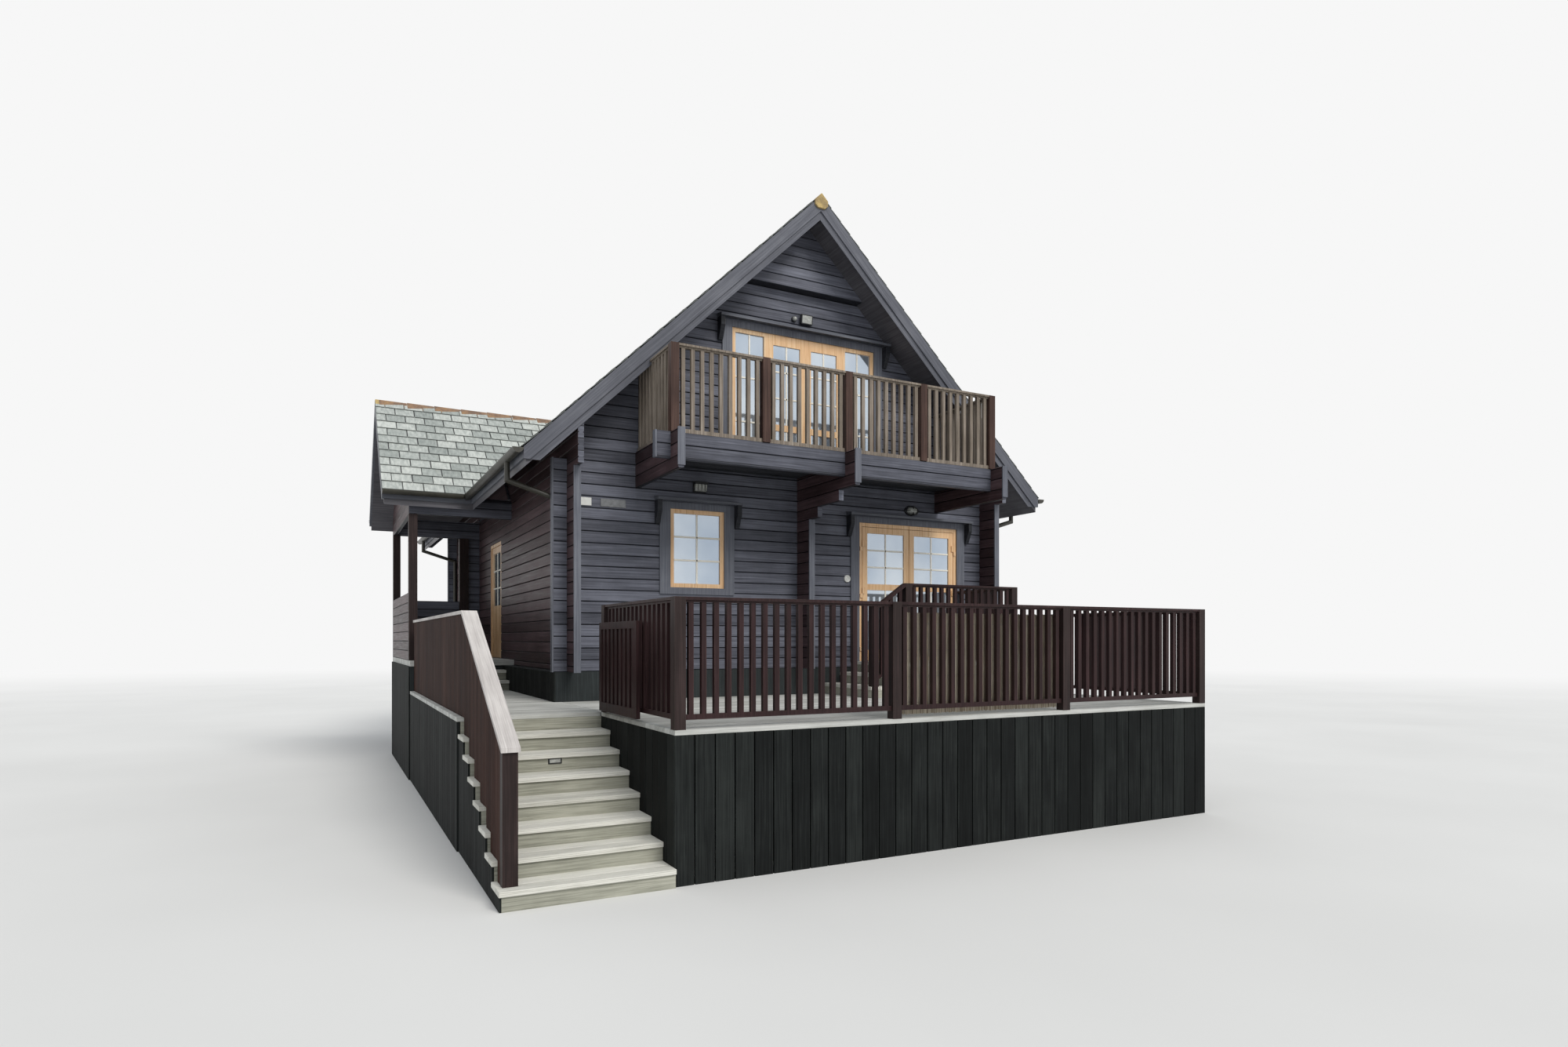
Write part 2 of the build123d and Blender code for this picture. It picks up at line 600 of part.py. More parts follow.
# Entrance door in the left wall, glazed over a solid panel, opening inwards
entry_top = ENTRY_Z1 - FRAME_W
frame = block(ENTRY_FACE, ENTRY_FACE + FRAME_T, ENTRY_Y0, ENTRY_Y1, FLOOR_Z, ENTRY_Z1)
frame -= block(0, LOG, ENTRY_Y0 + FRAME_W, ENTRY_Y1 - FRAME_W, FLOOR_Z, entry_top)
leaf_x = (ENTRY_FACE + FRAME_T - LEAF_T, ENTRY_FACE + FRAME_T)
leaf_y = (ENTRY_Y0 + FRAME_W + SWING, ENTRY_Y1 - FRAME_W - GAP)
z0, z1 = FLOOR_Z + LEAF_LIFT, entry_top - GAP
pane = (leaf_y[0] + ENTRY_STILE, leaf_y[1] - ENTRY_STILE, ENTRY_PANEL_Z, z1 - ENTRY_STILE)
leaf = block(*leaf_x, *leaf_y, z0, z1) - block(*leaf_x, *pane)
axis_x, axis_y = leaf_x[1] + HINGE_OUT, ENTRY_Y1 - FRAME_W - GAP / 2
for z in (z0 + HINGE_IN, (z0 + z1) / 2, z1 - HINGE_IN - HINGE_H):
    leaf += pin(axis_x, axis_y, z, z + HINGE_H, HINGE_R)
    leaf += block(axis_x - HINGE_T / 2, axis_x + HINGE_T / 2, axis_y - HINGE_PLATE, axis_y, z, z + HINGE_H)
    leaf += block(leaf_x[1], axis_x, axis_y - HINGE_PLATE, leaf_y[1], z, z + HINGE_H)
    low, high = z - SEAT - SEAT_H, z - SEAT
    frame += pin(axis_x, axis_y, low, high, HINGE_R)
    frame += block(axis_x - HINGE_T / 2, axis_x + HINGE_T / 2, axis_y, axis_y + HINGE_PLATE, low, high)
    frame += block(leaf_x[1], axis_x, ENTRY_Y1 - FRAME_W, axis_y + HINGE_PLATE, low, high)
save("entrance_frame", frame)
save("entrance_door", leaf)
middle = sum(leaf_x) / 2
save("entrance_door_glass", block(middle - GLASS_T / 2, middle + GLASS_T / 2, *pane))

# Boards round the front openings, and shelves on brackets over them
trims, hoods = [], []
for x0, x1, z0, z1, cill in (
    (WIN_X0, WIN_X1, WIN_Z0, WIN_Z1, True),
    (DOORS_X0, DOORS_X1, FLOOR_Z, DOORS_Z1, False),
    (TOP_X0, TOP_X1, UPPER_Z, TOP_Z1, False),
):
    low = z0 - TRIM_W if cill else z0
    board = block(x0 - TRIM_SIDE, x1 + TRIM_SIDE, -TRIM_T, 0, low, z1 + TRIM_W)
    trims.append(board - block(x0, x1, -TRIM_T, 0, z0, z1))
    shelf_z = z1 + TRIM_W
    shelf = [(0, shelf_z + HOOD_RISE), (-HOOD_OUT, shelf_z), (-HOOD_OUT, shelf_z + HOOD_T)]
    shelf.append((0, shelf_z + HOOD_RISE + HOOD_T))
    side = TRIM_SIDE + ARM_CLEAR
    hood = along_x(shelf, x0 - side - ARM_W - HOOD_LAP, x1 + side + ARM_W + HOOD_LAP)
    tip = -HOOD_OUT + ARM_BACK
    tip_z = shelf_z + HOOD_RISE * ARM_BACK / HOOD_OUT
    arm = [(0, shelf_z - ARM_H), (-ARM_FOOT, shelf_z - ARM_H), (tip, shelf_z - ARM_NOSE)]
    arm += [(tip, tip_z), (0, shelf_z + HOOD_RISE)]
    for x in (x0 - side - ARM_W, x1 + side):
        hood += along_x(arm, x, x + ARM_W)
    hoods.append(hood)
save("window_hoods", *hoods)


# Balcony: log beams carried out past the front wall, two fascia logs and a deck between them
def carried_log(x0):
    """The end of a cross wall carried out under the balcony."""
    return along_y(stack(x0, x0 + LOG, BAL_BASE, BAL_TOP), BAL_Y - BAL_STUB, 0)


save("balcony_beams", carried_log(BAL_L), carried_log(BAL_R - LOG))
# The middle wall steps out course by course below its beam
steps = [(0, BASE_Z), (-STUB_Y, BASE_Z), (-STUB_Y, BAL_BASE - 2 * COURSE), (-CORBEL_1, BAL_BASE - 2 * COURSE)]
steps += [(-CORBEL_1, BAL_BASE - COURSE), (-CORBEL_2, BAL_BASE - COURSE), (-CORBEL_2, BAL_BASE)]
steps += [(BAL_Y - BAL_STUB, BAL_BASE), (BAL_Y - BAL_STUB, BAL_TOP), (0, BAL_TOP)]
corbel = along_y(stack(CORBEL_X, CORBEL_X + LOG, BASE_Z, BAL_TOP), BAL_Y - BAL_STUB, 0)
save("stepped_log_corbel", along_x(steps, CORBEL_X, CORBEL_X + LOG) & corbel)
spans = [(BAL_L - BAL_STUB_X, BAL_L), (BAL_L + LOG, CORBEL_X)]
spans += [(CORBEL_X + LOG, BAL_R - LOG), (BAL_R, BAL_R + BAL_STUB_X)]
pair = stack(BAL_Y, BAL_Y + LOG, FASCIA_LOGS_Z, BAL_TOP, BAL_TOP - COURSE, True)
save("balcony_fascia_logs", *[along_x(pair, x0, x1) for x0, x1 in spans])
decks = [block(x0, x1, BAL_Y + LOG, -TRIM_T, UPPER_Z - BAL_DECK_T, UPPER_Z) for x0, x1 in spans[1:3]]
ends = []
for x0, low in ((BAL_L, BAL_BASE), (CORBEL_X, BAL_BASE), (BAL_R - LOG, BAL_BASE)):
    side = x0 + LOG / 2 - END_BOARD_W / 2
    face = BAL_Y - BAL_STUB
    ends.append(block(side, side + END_BOARD_W, face - END_BOARD, face, low + LAP, BAL_TOP))
side = CORBEL_X + LOG / 2 - END_BOARD_W / 2
ends.append(block(side, side + END_BOARD_W, -STUB_Y - END_BOARD, -STUB_Y, BASE_Z, BAL_BASE - 2 * COURSE))
for x0 in (BAL_L - BAL_STUB_X - END_BOARD, BAL_R + BAL_STUB_X):
    side = BAL_Y + LOG / 2 - END_BOARD_W / 2
    ends.append(block(x0, x0 + END_BOARD, side, side + END_BOARD_W, FASCIA_LOGS_Z, BAL_TOP))
save("trim_boards", *covers, *trims, *ends)


# Railings: a handrail and a foot rail with square balusters between
def railing(run, a, b, centre, foot, top, gap=FOOT_GAP):
    """A straight railing along 'x' or 'y' from a to b, standing over the line at centre.

    The flat handrail lies on a strip as thick as the balusters, which takes their heads.
    """
    def piece(p0, p1, half, z0, z1):
        side = (centre - half, centre + half)
        return block(p0, p1, *side, z0, z1) if run == "x" else block(*side, p0, p1, z0, z1)

    shape = piece(a, b, RAIL_W / 2, top - HAND_T, top) + piece(a, b, BALUSTER / 2, top - RAIL_T, top - HAND_T)
    shape += piece(a, b, BALUSTER / 2, foot + gap, foot + gap + RAIL_T)
    count = round((b - a) / BALUSTER_PITCH)
    pitch = (b - a) / count
    for n in range(count):
        p = a + (n + 0.5) * pitch
        shape += piece(p - BALUSTER / 2, p + BALUSTER / 2, BALUSTER / 2, foot + gap + RAIL_T, top - RAIL_T)
    return shape


rail_y = BAL_Y + LOG / 2
post_x = [BAL_L + RAIL_POST / 2 + n * (BAL_R - BAL_L - RAIL_POST) / 4 for n in range(5)]
half = RAIL_POST / 2
posts = [block(x - half, x + half, rail_y - half, rail_y + half, BAL_TOP, BAL_RAIL_Z) for x in post_x]
bays = []
for a, b in zip(post_x, post_x[1:]):
    bays.append(railing("x", a + half, b - half, rail_y, BAL_TOP, BAL_RAIL_Z, 0))
for x in (post_x[0], post_x[-1]):
    # The side handrails are notched round the barge boards that they pass
    bays.append(railing("y", rail_y + half, 0, x, BAL_TOP, BAL_RAIL_Z, 0) - barges[0])
save("balcony_railings", *bays)

# Deck, landing and their frame
porch_y = PORCH_FLOOR_Y + NOSING
deck = block(LANDING_L, DECK_L, STAIR_Y, -END_BOARD, DECK_Z - BOARD, DECK_Z)
deck += block(LANDING_L, -PLINTH_OUT, -END_BOARD, porch_y, DECK_Z - BOARD, DECK_Z)
deck += block(DECK_L, DECK_R, DECK_FRONT, -END_BOARD, DECK_Z - BOARD, DECK_Z)
porch_floor = block(PORCH_L, 0, PORCH_FLOOR_Y, PORCH_BACK, BASE_Z, FLOOR_Z)
save("deck_boards", deck, porch_floor, *decks)
under = DECK_Z - BOARD
skirt = block(DECK_L, DECK_R, DECK_FRONT, DECK_FRONT + SKIRT_T, 0, under)
skirt += block(DECK_L, DECK_L + SKIRT_T, DECK_FRONT, STAIR_Y, 0, under)
skirt += block(DECK_R - SKIRT_T, DECK_R, DECK_FRONT, -END_BOARD, 0, under)
side = block(LANDING_L, LANDING_L + SKIRT_T, STAIR_Y, porch_y, 0, under)
save("deck_skirt", skirt, side)
beams = []
first = DECK_L + SKIRT_T + JOIST_IN
for n in range(JOISTS):
    x = first + n * (DECK_R - DECK_L - 2 * SKIRT_T - 2 * JOIST_IN) / (JOISTS - 1)
    beams.append((x, DECK_FRONT + SKIRT_T, -END_BOARD, (DECK_FRONT + PROP_IN, -PROP_IN)))
for x in (LANDING_L + JOIST_H, -PLINTH_OUT - JOIST_H):
    beams.append((x, STAIR_Y + 2 * RISER_T, porch_y, (STAIR_Y + PROP_IN, porch_y - PROP_IN)))
half = RAIL_POST / 2
for x, y0, y1, props in beams:
    posts += [block(x - half, x + half, y - half, y + half, 0, under - JOIST_H) for y in props]
beams = [block(x - JOIST / 2, x + JOIST / 2, y0, y1, under - JOIST_H, under) for x, y0, y1, props in beams]
save("deck_frame", *beams)

# Stairs: treads that run past the guard on the left, risers, and three cut strings
treads, risers = [], []
for n in range(1, RISES):
    back = STAIR_Y - (n - 1) * GOING
    top = DECK_Z - n * RISER
    treads.append(block(STAIR_L, DECK_L, back - GOING - NOSING, back, top - BOARD, top))
for n in range(1, RISES + 1):
    face = STAIR_Y - (n - 1) * GOING
    low = max(0, DECK_Z - n * RISER - BOARD)
    high = DECK_Z - (n - 1) * RISER - BOARD
    risers.append(block(STAIR_L + NOSING, DECK_L, face, face + RISER_T, low, high))
save("stair_treads", *treads)
save("stair_risers", *risers)
saw = [(STAIR_Y - (RISES - 1) * GOING + RISER_T, 0)]
for n in range(RISES - 1, 0, -1):
    back = STAIR_Y - (n - 1) * GOING + RISER_T
    top = DECK_Z - n * RISER - BOARD
    saw += [(saw[-1][0], top), (back, top)]
saw += [(STAIR_Y + RISER_T, 0)]
strings = [along_x(saw, x, x + JOIST) for x in (STAIR_L + NOSING, (STAIR_L + DECK_L) / 2, DECK_L - JOIST)]
save("stair_strings", *strings)

# Boarded guard up the stairs and along the landing, with a wide sloping cap
RAKE = RISER / GOING
guard_top = DECK_Z + GUARD_H


def guard_z(y):
    """Height of the cap's underside at y, level over the landing and raked over the stairs."""
    return guard_top - CAP_T - max(0, STAIR_Y - y) * RAKE


stepped = [(NEWEL_Y + RAIL_POST, DECK_Z - (RISES - 1) * RISER)]
for n in range(RISES - 1, 0, -1):
    back = STAIR_Y - (n - 1) * GOING
    nose = back - NOSING if n > 1 else back
    stepped += [(nose, DECK_Z - n * RISER), (nose, DECK_Z - (n - 1) * RISER)]
stepped += [(STAIR_Y, guard_z(STAIR_Y)), (NEWEL_Y + RAIL_POST, guard_z(NEWEL_Y + RAIL_POST))]
skins = [along_x(stepped, x, x + GUARD_SKIN) for x in (GUARD_X0, GUARD_X1 - GUARD_SKIN)]
save("stair_guard_boards", *skins)
post = [(NEWEL_Y, stepped[0][1]), (NEWEL_Y + RAIL_POST, stepped[0][1])]
post += [(NEWEL_Y + RAIL_POST, guard_z(NEWEL_Y + RAIL_POST)), (NEWEL_Y, guard_z(NEWEL_Y))]
posts.append(along_x(post, GUARD_X0, GUARD_X1))
foot_y = NEWEL_Y - NOSING
cap = [(foot_y, guard_z(foot_y)), (STAIR_Y, guard_z(STAIR_Y)), (PORCH_FLOOR_Y, guard_top - CAP_T)]
cap += [(PORCH_FLOOR_Y, guard_top), (STAIR_Y, guard_top), (foot_y, guard_z(foot_y) + CAP_T)]
middle = (GUARD_X0 + GUARD_X1) / 2
save("guard_cap", along_x(cap, middle - CAP_W / 2, middle + CAP_W / 2))
landing_skins = []
for x in (GUARD_X0, GUARD_X1 - GUARD_SKIN):
    landing_skins.append(block(x, x + GUARD_SKIN, STAIR_Y, PORCH_FLOOR_Y, DECK_Z, guard_top - CAP_T))
save("landing_guard_boards", *landing_skins)

# Deck railings and posts
rail_top = DECK_Z + RAIL_H
inset = RAIL_POST / 2
front_y = DECK_FRONT + inset
end_x = (DECK_L + inset, DECK_R - inset)
post_x = [end_x[0] + n * (end_x[1] - end_x[0]) / 3 for n in range(4)]
head_y = STAIR_Y - inset
spots = [(x, front_y) for x in post_x] + [(post_x[0], head_y), (post_x[-1], -END_BOARD - inset)]
posts += [block(x - inset, x + inset, y - inset, y + inset, DECK_Z, rail_top) for x, y in spots]
bays = [railing("x", a + inset, b - inset, front_y, DECK_Z, rail_top) for a, b in zip(post_x, post_x[1:])]
bays.append(railing("y", front_y + inset, head_y - inset, post_x[0], DECK_Z, rail_top))
bays.append(railing("y", front_y + inset, -END_BOARD - RAIL_POST, post_x[-1], DECK_Z, rail_top))
screen = (front_y + RAIL_W / 2, front_y + RAIL_W / 2 + REED_T, DECK_Z + NOSING, rail_top - 2 * RAIL_T)
save("reed_screen", block(post_x[1] + inset, post_x[2] - inset, *screen))

# Gate, held open against the outside of the deck railing
GATE_PIN_Y = head_y - PIN_IN
cap_edge = (GUARD_X0 + GUARD_X1 + CAP_W) / 2
gate_len = (GATE_X - GATE_END) - (cap_edge + SWING)
gy1 = GATE_PIN_Y - GATE_END
gy0 = gy1 - gate_len
gz0, gz1 = DECK_Z + GATE_LIFT, DECK_Z + GATE_TOP
side = (GATE_X - GATE_T / 2, GATE_X + GATE_T / 2)
gate = block(*side, gy0, gy1, gz0, gz0 + GATE_FOOT) + block(*side, gy0, gy1, gz1 - GATE_STILE, gz1)
for y in (gy0, gy1 - GATE_STILE):
    gate += block(*side, y, y + GATE_STILE, gz0, gz1)
side = (GATE_X - SLAT_T / 2, GATE_X + SLAT_T / 2)
for n in range(GATE_SLATS):
    y = gy0 + GATE_STILE + (n + 0.5) * (gate_len - 2 * GATE_STILE) / GATE_SLATS
    gate += block(*side, y - SLAT_W / 2, y + SLAT_W / 2, gz0 + GATE_FOOT, gz1 - GATE_STILE)
eyes = []
for z in (gz0 + 1.5 * PIN_H, gz1 - 2.5 * PIN_H):
    gate += pin(GATE_X, GATE_PIN_Y, z, z + PIN_H, PIN_R)
    gate += block(GATE_X - PIN_R / 2, GATE_X + PIN_R / 2, gy1, GATE_PIN_Y, z + EYE, z + PIN_H - EYE)
    for low in (z - SEAT - EYE_T, z + PIN_H + SEAT):
        ends_y = (GATE_PIN_Y - EYE, GATE_PIN_Y + PIN_IN - EYE)
        eyes.append(block(GATE_X - EYE, DECK_L, *ends_y, low, low + EYE_T))
save("gate", gate)
save("gate_hinge_eyes", *eyes)

# Raised landing outside the glazed doors, with two steps at its left end
dais = block(DAIS_X0, DAIS_X1, DAIS_Y, 0, FLOOR_Z - BOARD, FLOOR_Z)
dais += block(DAIS_X0, DAIS_X1, DAIS_Y, DAIS_Y + SKIRT_T, DECK_Z, FLOOR_Z - BOARD)
for x in (DAIS_X0, DAIS_X1 - SKIRT_T):
    dais += block(x, x + SKIRT_T, DAIS_Y, -END_BOARD, DECK_Z, FLOOR_Z - BOARD)
for n in (1, 2):
    top = FLOOR_Z - n * STEP
    x1 = DAIS_X0 - (n - 1) * DAIS_GOING
    x0 = x1 - DAIS_GOING
    dais += block(x0, x1 + (NOSING if n == 2 else 0), DAIS_Y, -END_BOARD, top - BOARD, top)
    dais += block(x0 + NOSING, x0 + NOSING + RISER_T, DAIS_Y, -END_BOARD, DECK_Z, top - BOARD)
    dais += block(x0 + NOSING, x1, DAIS_Y, DAIS_Y + SKIRT_T, DECK_Z, top - BOARD)
save("raised_landing", dais)
dais_top = FLOOR_Z + DAIS_RAIL
dais_y = DAIS_Y + inset
foot_x = DAIS_X0 - 2 * DAIS_GOING + NOSING + inset
dais_fall = 2 * STEP
for x, fall in ((DAIS_X0 + inset, 0), (DAIS_X1 - inset, 0), (foot_x, dais_fall)):
    ends_z = (FLOOR_Z - fall, dais_top - fall)
    posts.append(block(x - inset, x + inset, dais_y - inset, dais_y + inset, *ends_z))
bays.append(railing("x", DAIS_X0 + 2 * inset, DAIS_X1 - 2 * inset, dais_y, FLOOR_Z, dais_top))
bays.append(railing("y", dais_y + inset, -TRIM_T, DAIS_X1 - inset, FLOOR_Z, dais_top))
x0, x1 = foot_x + inset, DAIS_X0
rake_z = dais_fall / (x1 - x0)


def raked(low, high, half):
    """A raking bar beside the two steps, between heights low and high at its upper end."""
    outline = [(x1, low), (x1, high), (x0, high - dais_fall), (x0, low - dais_fall)]
    return along_y(outline, dais_y - half, dais_y + half)


slope_rail = raked(dais_top - RAIL_T, dais_top, RAIL_W / 2)
slope_rail += raked(FLOOR_Z + FOOT_GAP, FLOOR_Z + FOOT_GAP + RAIL_T, BALUSTER / 2)
for n in range(3):
    x = x0 + (n + 0.5) * (x1 - x0) / 3
    fall = (x1 - x) * rake_z
    half = BALUSTER / 2
    low, high = FLOOR_Z + FOOT_GAP + RAIL_T / 2 - fall, dais_top - RAIL_T / 2 - fall
    slope_rail += block(x - half, x + half, dais_y - half, dais_y + half, low, high)
bays.append(slope_rail)
save("deck_railings", *bays)

# Porch: base, floor, posts, half walls, beams, gables and steps
base = block(PORCH_L, -PLINTH_OUT, porch_y, PORCH_BACK, 0, BASE_Z)
base -= block(PORCH_L + JOIST, -PLINTH_OUT, porch_y + JOIST, PORCH_BACK - JOIST, 0, BASE_Z)
save("porch_base", base)
corner = (PORCH_L, PORCH_L + POST)
posts.append(block(*corner, PORCH_FRONT, PORCH_FRONT + POST, FLOOR_Z, BEAM_Z))
posts.append(block(*corner, PORCH_BACK - POST, PORCH_BACK, FLOOR_Z, BEAM_Z))
stub_x = -PORCH_STUB - PORCH_POST_W
posts.append(block(stub_x, -PORCH_STUB, PORCH_BACK - POST, PORCH_BACK, FLOOR_Z, BEAM_Z))
save("timber_posts", *posts)
half_top = FLOOR_Z + HALF_WALL
half_logs = stack(PORCH_L, PORCH_L + LOG, FLOOR_Z, half_top, FLOOR_Z)
walls = [along_y(half_logs, PORCH_FRONT + POST, PORCH_BACK - POST)]
half_logs = stack(PORCH_BACK - LOG, PORCH_BACK, FLOOR_Z, half_top, FLOOR_Z)
walls.append(along_x(half_logs, PORCH_L + POST, stub_x))
walls.append(along_x(stack(PORCH_BACK - LOG, PORCH_BACK, FLOOR_Z, BEAM_Z, FLOOR_Z), -PORCH_STUB, 0))
save("porch_log_walls", *walls)


def porch_outline(y0, y1, low):
    """(y, z) corners of a wall under the cross roof, from a level foot up to the roof."""
    ends = [(y0, low), (y0, wing_under(y0))]
    if y0 < WING_RIDGE_Y < y1:
        ends.append((WING_RIDGE_Y, wing_under(WING_RIDGE_Y)))
    return ends + [(y1, wing_under(y1)), (y1, low)]


outer = along_x(porch_outline(PORCH_FRONT, PORCH_BACK, BEAM_Z), PORCH_L, PORCH_L + LOG)
outer &= along_y(stack(PORCH_L, PORCH_L + LOG, BEAM_Z, WING_RIDGE_Z, BEAM_Z), PORCH_FRONT, PORCH_BACK)
beams = []
for y in (PORCH_FRONT, PORCH_BACK - LOG):
    beam = along_x(porch_outline(y, y + LOG, BEAM_Z), PORCH_L + LOG, 0)
    beams.append(beam & along_x(stack(y, y + LOG, BEAM_Z, WING_RIDGE_Z, BEAM_Z), PORCH_L + LOG, 0))
save("porch_beams", *beams)
infill_z = EAVE_Z
half = WING_HALF - (infill_z + ROOF_V - EAVE_Z) / SLOPE
infill = porch_outline(WING_RIDGE_Y - half + 1, WING_RIDGE_Y + half - 1, infill_z)
save("porch_gables", outer, along_x(infill, -INFILL_T, 0))
steps = []
for n in (1, 2):
    y0 = PORCH_FLOOR_Y - n * PORCH_GOING
    top = FLOOR_Z - n * STEP
    back = y0 + PORCH_GOING + (NOSING if n == 1 else 0)
    step = block(GUARD_X1, -PLINTH_OUT, y0, back, top - BOARD, top)
    step += block(GUARD_X1, -PLINTH_OUT, y0 + NOSING, y0 + NOSING + RISER_T, top - STEP, top - BOARD)
    steps.append(step)
save("porch_steps", *steps)


# Gutters with stopped ends, and the pipes down from them
def gutter(run, a, b, centre):
    """A half-round trough along 'x' or 'y' from a to b."""
    def bar(r, p0, p1):
        turn = Rot(0, 90, 0) if run == "x" else Rot(90, 0, 0)
        mid = (p0 + p1) / 2
        x, y = (mid, centre) if run == "x" else (centre, mid)
        round_bar = extrude(RegularPolygon(r, GUTTER_SIDES), (p1 - p0) / 2, both=True)
        return Pos(x - MID_X, y - MID_Y, gutter_z) * turn * round_bar

    r = GUTTER_R + GUTTER_T
    trough = bar(r, a, b) - bar(GUTTER_R, a + GUTTER_T, b - GUTTER_T)
    lid = (a, b, centre - r, centre + r) if run == "x" else (centre - r, centre + r, a, b)
    return trough - block(*lid, gutter_z, gutter_z + r)


gutter_z = EAVE_Z - FASCIA_T * SLOPE - GUTTER_DROP
reach = GUTTER_R + GUTTER_T
left_x, right_gx = EAVE_L - FASCIA_T - reach, EAVE_R + FASCIA_T + reach
gutters = [gutter("y", -VERGE, WING_FRONT - FASCIA_T, left_x)]
gutters.append(gutter("y", WING_BACK + FASCIA_T, HOUSE_D + VERGE, left_x))
gutters.append(gutter("y", -VERGE, HOUSE_D + VERGE, right_gx))
for y in (WING_FRONT - FASCIA_T - reach, WING_BACK + FASCIA_T + reach):
    gutters.append(gutter("x", WING_END - BARGE_T, left_x - reach - 1, y))
save("gutters", *gutters)


def pipe(points):
    """A pipe swept through the points with mitred bends; enough flat sides to look round."""
    spots = [(x - MID_X, y - MID_Y, z) for x, y, z in points]
    section = Plane(origin=spots[0], z_dir=(0, 0, -1)) * RegularPolygon(PIPE_R, PIPE_SIDES)
    return sweep(section, path=Polyline(*spots), transition=Transition.RIGHT)


neck_z = EAVE_Z - ROOF_V - 2 * PIPE_R
wall_out = PIPE_OUT + PIPE_R
pipes = []
# Each pipe stands on the plinth's ledge, in the corner between a side wall and the crossed ends
for y in (LOG + wall_out, HOUSE_D - LOG - wall_out):
    for gx, wx, side in ((left_x, -wall_out, 0), (right_gx, HOUSE_W + wall_out, HOUSE_W)):
        top = gutter_z - reach
        shape = pipe([(gx, y, top), (gx, y, neck_z), (wx, y, neck_z - PIPE_FALL), (wx, y, BASE_Z)])
        x0, x1 = min(side, wx), max(side, wx)
        for z in (BASE_Z + 4 * COURSE, BASE_Z + 12 * COURSE):
            shape += block(x0, x1, y - CLIP / 2, y + CLIP / 2, z, z + CLIP)
        pipes.append(shape)
save("downpipes", *pipes)


def boss(x, z, wide, high, out):
    """A round or oval fitting on the front wall."""
    return Pos(x - MID_X, -MID_Y, z) * Rot(90, 0, 0) * extrude(Ellipse(wide / 2, high / 2), out)


# Lamps, a vent and two bare plates on the front, and a light on a stair riser
flood_x, flood_z = RIDGE_X + FLOOD_OFF, TOP_Z1 + TRIM_W + HOOD_RISE + HOOD_T + SENSOR_R
half = FLOOD_W / 2
flood = block(flood_x - half, flood_x + half, -FLOOD_OUT, 0, flood_z, flood_z + FLOOD_H)
sensor = boss(flood_x - FLOOD_W, flood_z + FLOOD_H / 2, 2 * SENSOR_R, 2 * SENSOR_R, SENSOR_OUT)
lamp_x, lamp_z = (WIN_X0 + WIN_X1) / 2 + LAMP_OFF, FASCIA_LOGS_Z - LAMP_H
half = LAMP_W / 2
bulkhead = block(lamp_x - half, lamp_x + half, -LAMP_OUT, 0, lamp_z, lamp_z + LAMP_H)
oval_z = DOORS_Z1 + TRIM_W + HOOD_RISE + HOOD_T + OVAL_H / 2 + SWING
lamp = boss((DOORS_X0 + DOORS_X1) / 2 + OVAL_OFF, oval_z, OVAL_W, OVAL_H, OVAL_OUT)
vent = boss(DOORS_X0 - VENT_OFF, WIN_Z0 + VENT_UP, 2 * VENT_R, 2 * VENT_R, VENT_OUT)
plate_z = WIN_Z1 - PLATE_DROP
plates = []
for x, width in ((2 * LOG, NUMBER_W), (6 * LOG, NAME_W)):
    plates.append(block(x, x + width, -PLATE_T, 0, plate_z, plate_z + PLATE_H))
light_x = (GUARD_X1 + DECK_L) / 2
light_y, light_z = STAIR_Y - 2 * GOING, DECK_Z - 2 * RISER - BOARD - LIGHT_H
half = LIGHT_W / 2
light = block(light_x - half, light_x + half, light_y - PLATE_T, light_y, light_z, light_z + LIGHT_H)
save("lamps_and_plates", flood, sensor, bulkhead, lamp, vent, *plates, light)
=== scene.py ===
# %% [markdown]
# # A log holiday lodge, dressed board by board
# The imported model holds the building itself: walls of planed logs, roof slopes, decks, doors.
# This script adds what a builder would lay on it, such as slates, deck boards and glazing bars,
# gives every surface a finish, and sets up a plain studio. All lengths are metres in the model's
# own frame: X along the front, Y in from the front, Z up from the ground.

# %% Load the frame
import math

import bpy
import numpy as np
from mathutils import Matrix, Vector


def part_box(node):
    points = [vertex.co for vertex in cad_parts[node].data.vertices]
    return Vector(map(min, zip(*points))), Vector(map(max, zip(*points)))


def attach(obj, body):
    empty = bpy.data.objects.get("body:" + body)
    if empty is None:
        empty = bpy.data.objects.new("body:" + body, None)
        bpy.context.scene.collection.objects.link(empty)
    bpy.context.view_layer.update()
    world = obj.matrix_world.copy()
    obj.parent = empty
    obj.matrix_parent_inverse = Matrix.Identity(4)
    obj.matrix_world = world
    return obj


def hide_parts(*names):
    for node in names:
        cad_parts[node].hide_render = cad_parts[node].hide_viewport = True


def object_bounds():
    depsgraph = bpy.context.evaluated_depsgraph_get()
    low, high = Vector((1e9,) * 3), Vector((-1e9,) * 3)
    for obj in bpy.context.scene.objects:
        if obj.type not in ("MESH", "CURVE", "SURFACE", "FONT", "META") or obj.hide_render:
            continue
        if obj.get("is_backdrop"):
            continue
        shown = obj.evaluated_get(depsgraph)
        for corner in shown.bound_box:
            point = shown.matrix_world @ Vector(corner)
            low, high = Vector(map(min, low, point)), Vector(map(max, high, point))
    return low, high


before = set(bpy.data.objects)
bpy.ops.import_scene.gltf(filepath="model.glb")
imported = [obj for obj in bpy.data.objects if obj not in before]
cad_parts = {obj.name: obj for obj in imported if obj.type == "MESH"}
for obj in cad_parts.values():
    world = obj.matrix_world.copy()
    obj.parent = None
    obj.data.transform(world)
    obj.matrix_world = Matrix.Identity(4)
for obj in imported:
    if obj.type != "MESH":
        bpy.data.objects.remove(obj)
cad_size = [list(corner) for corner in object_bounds()]
MM = 0.001
rng = np.random.default_rng(7)
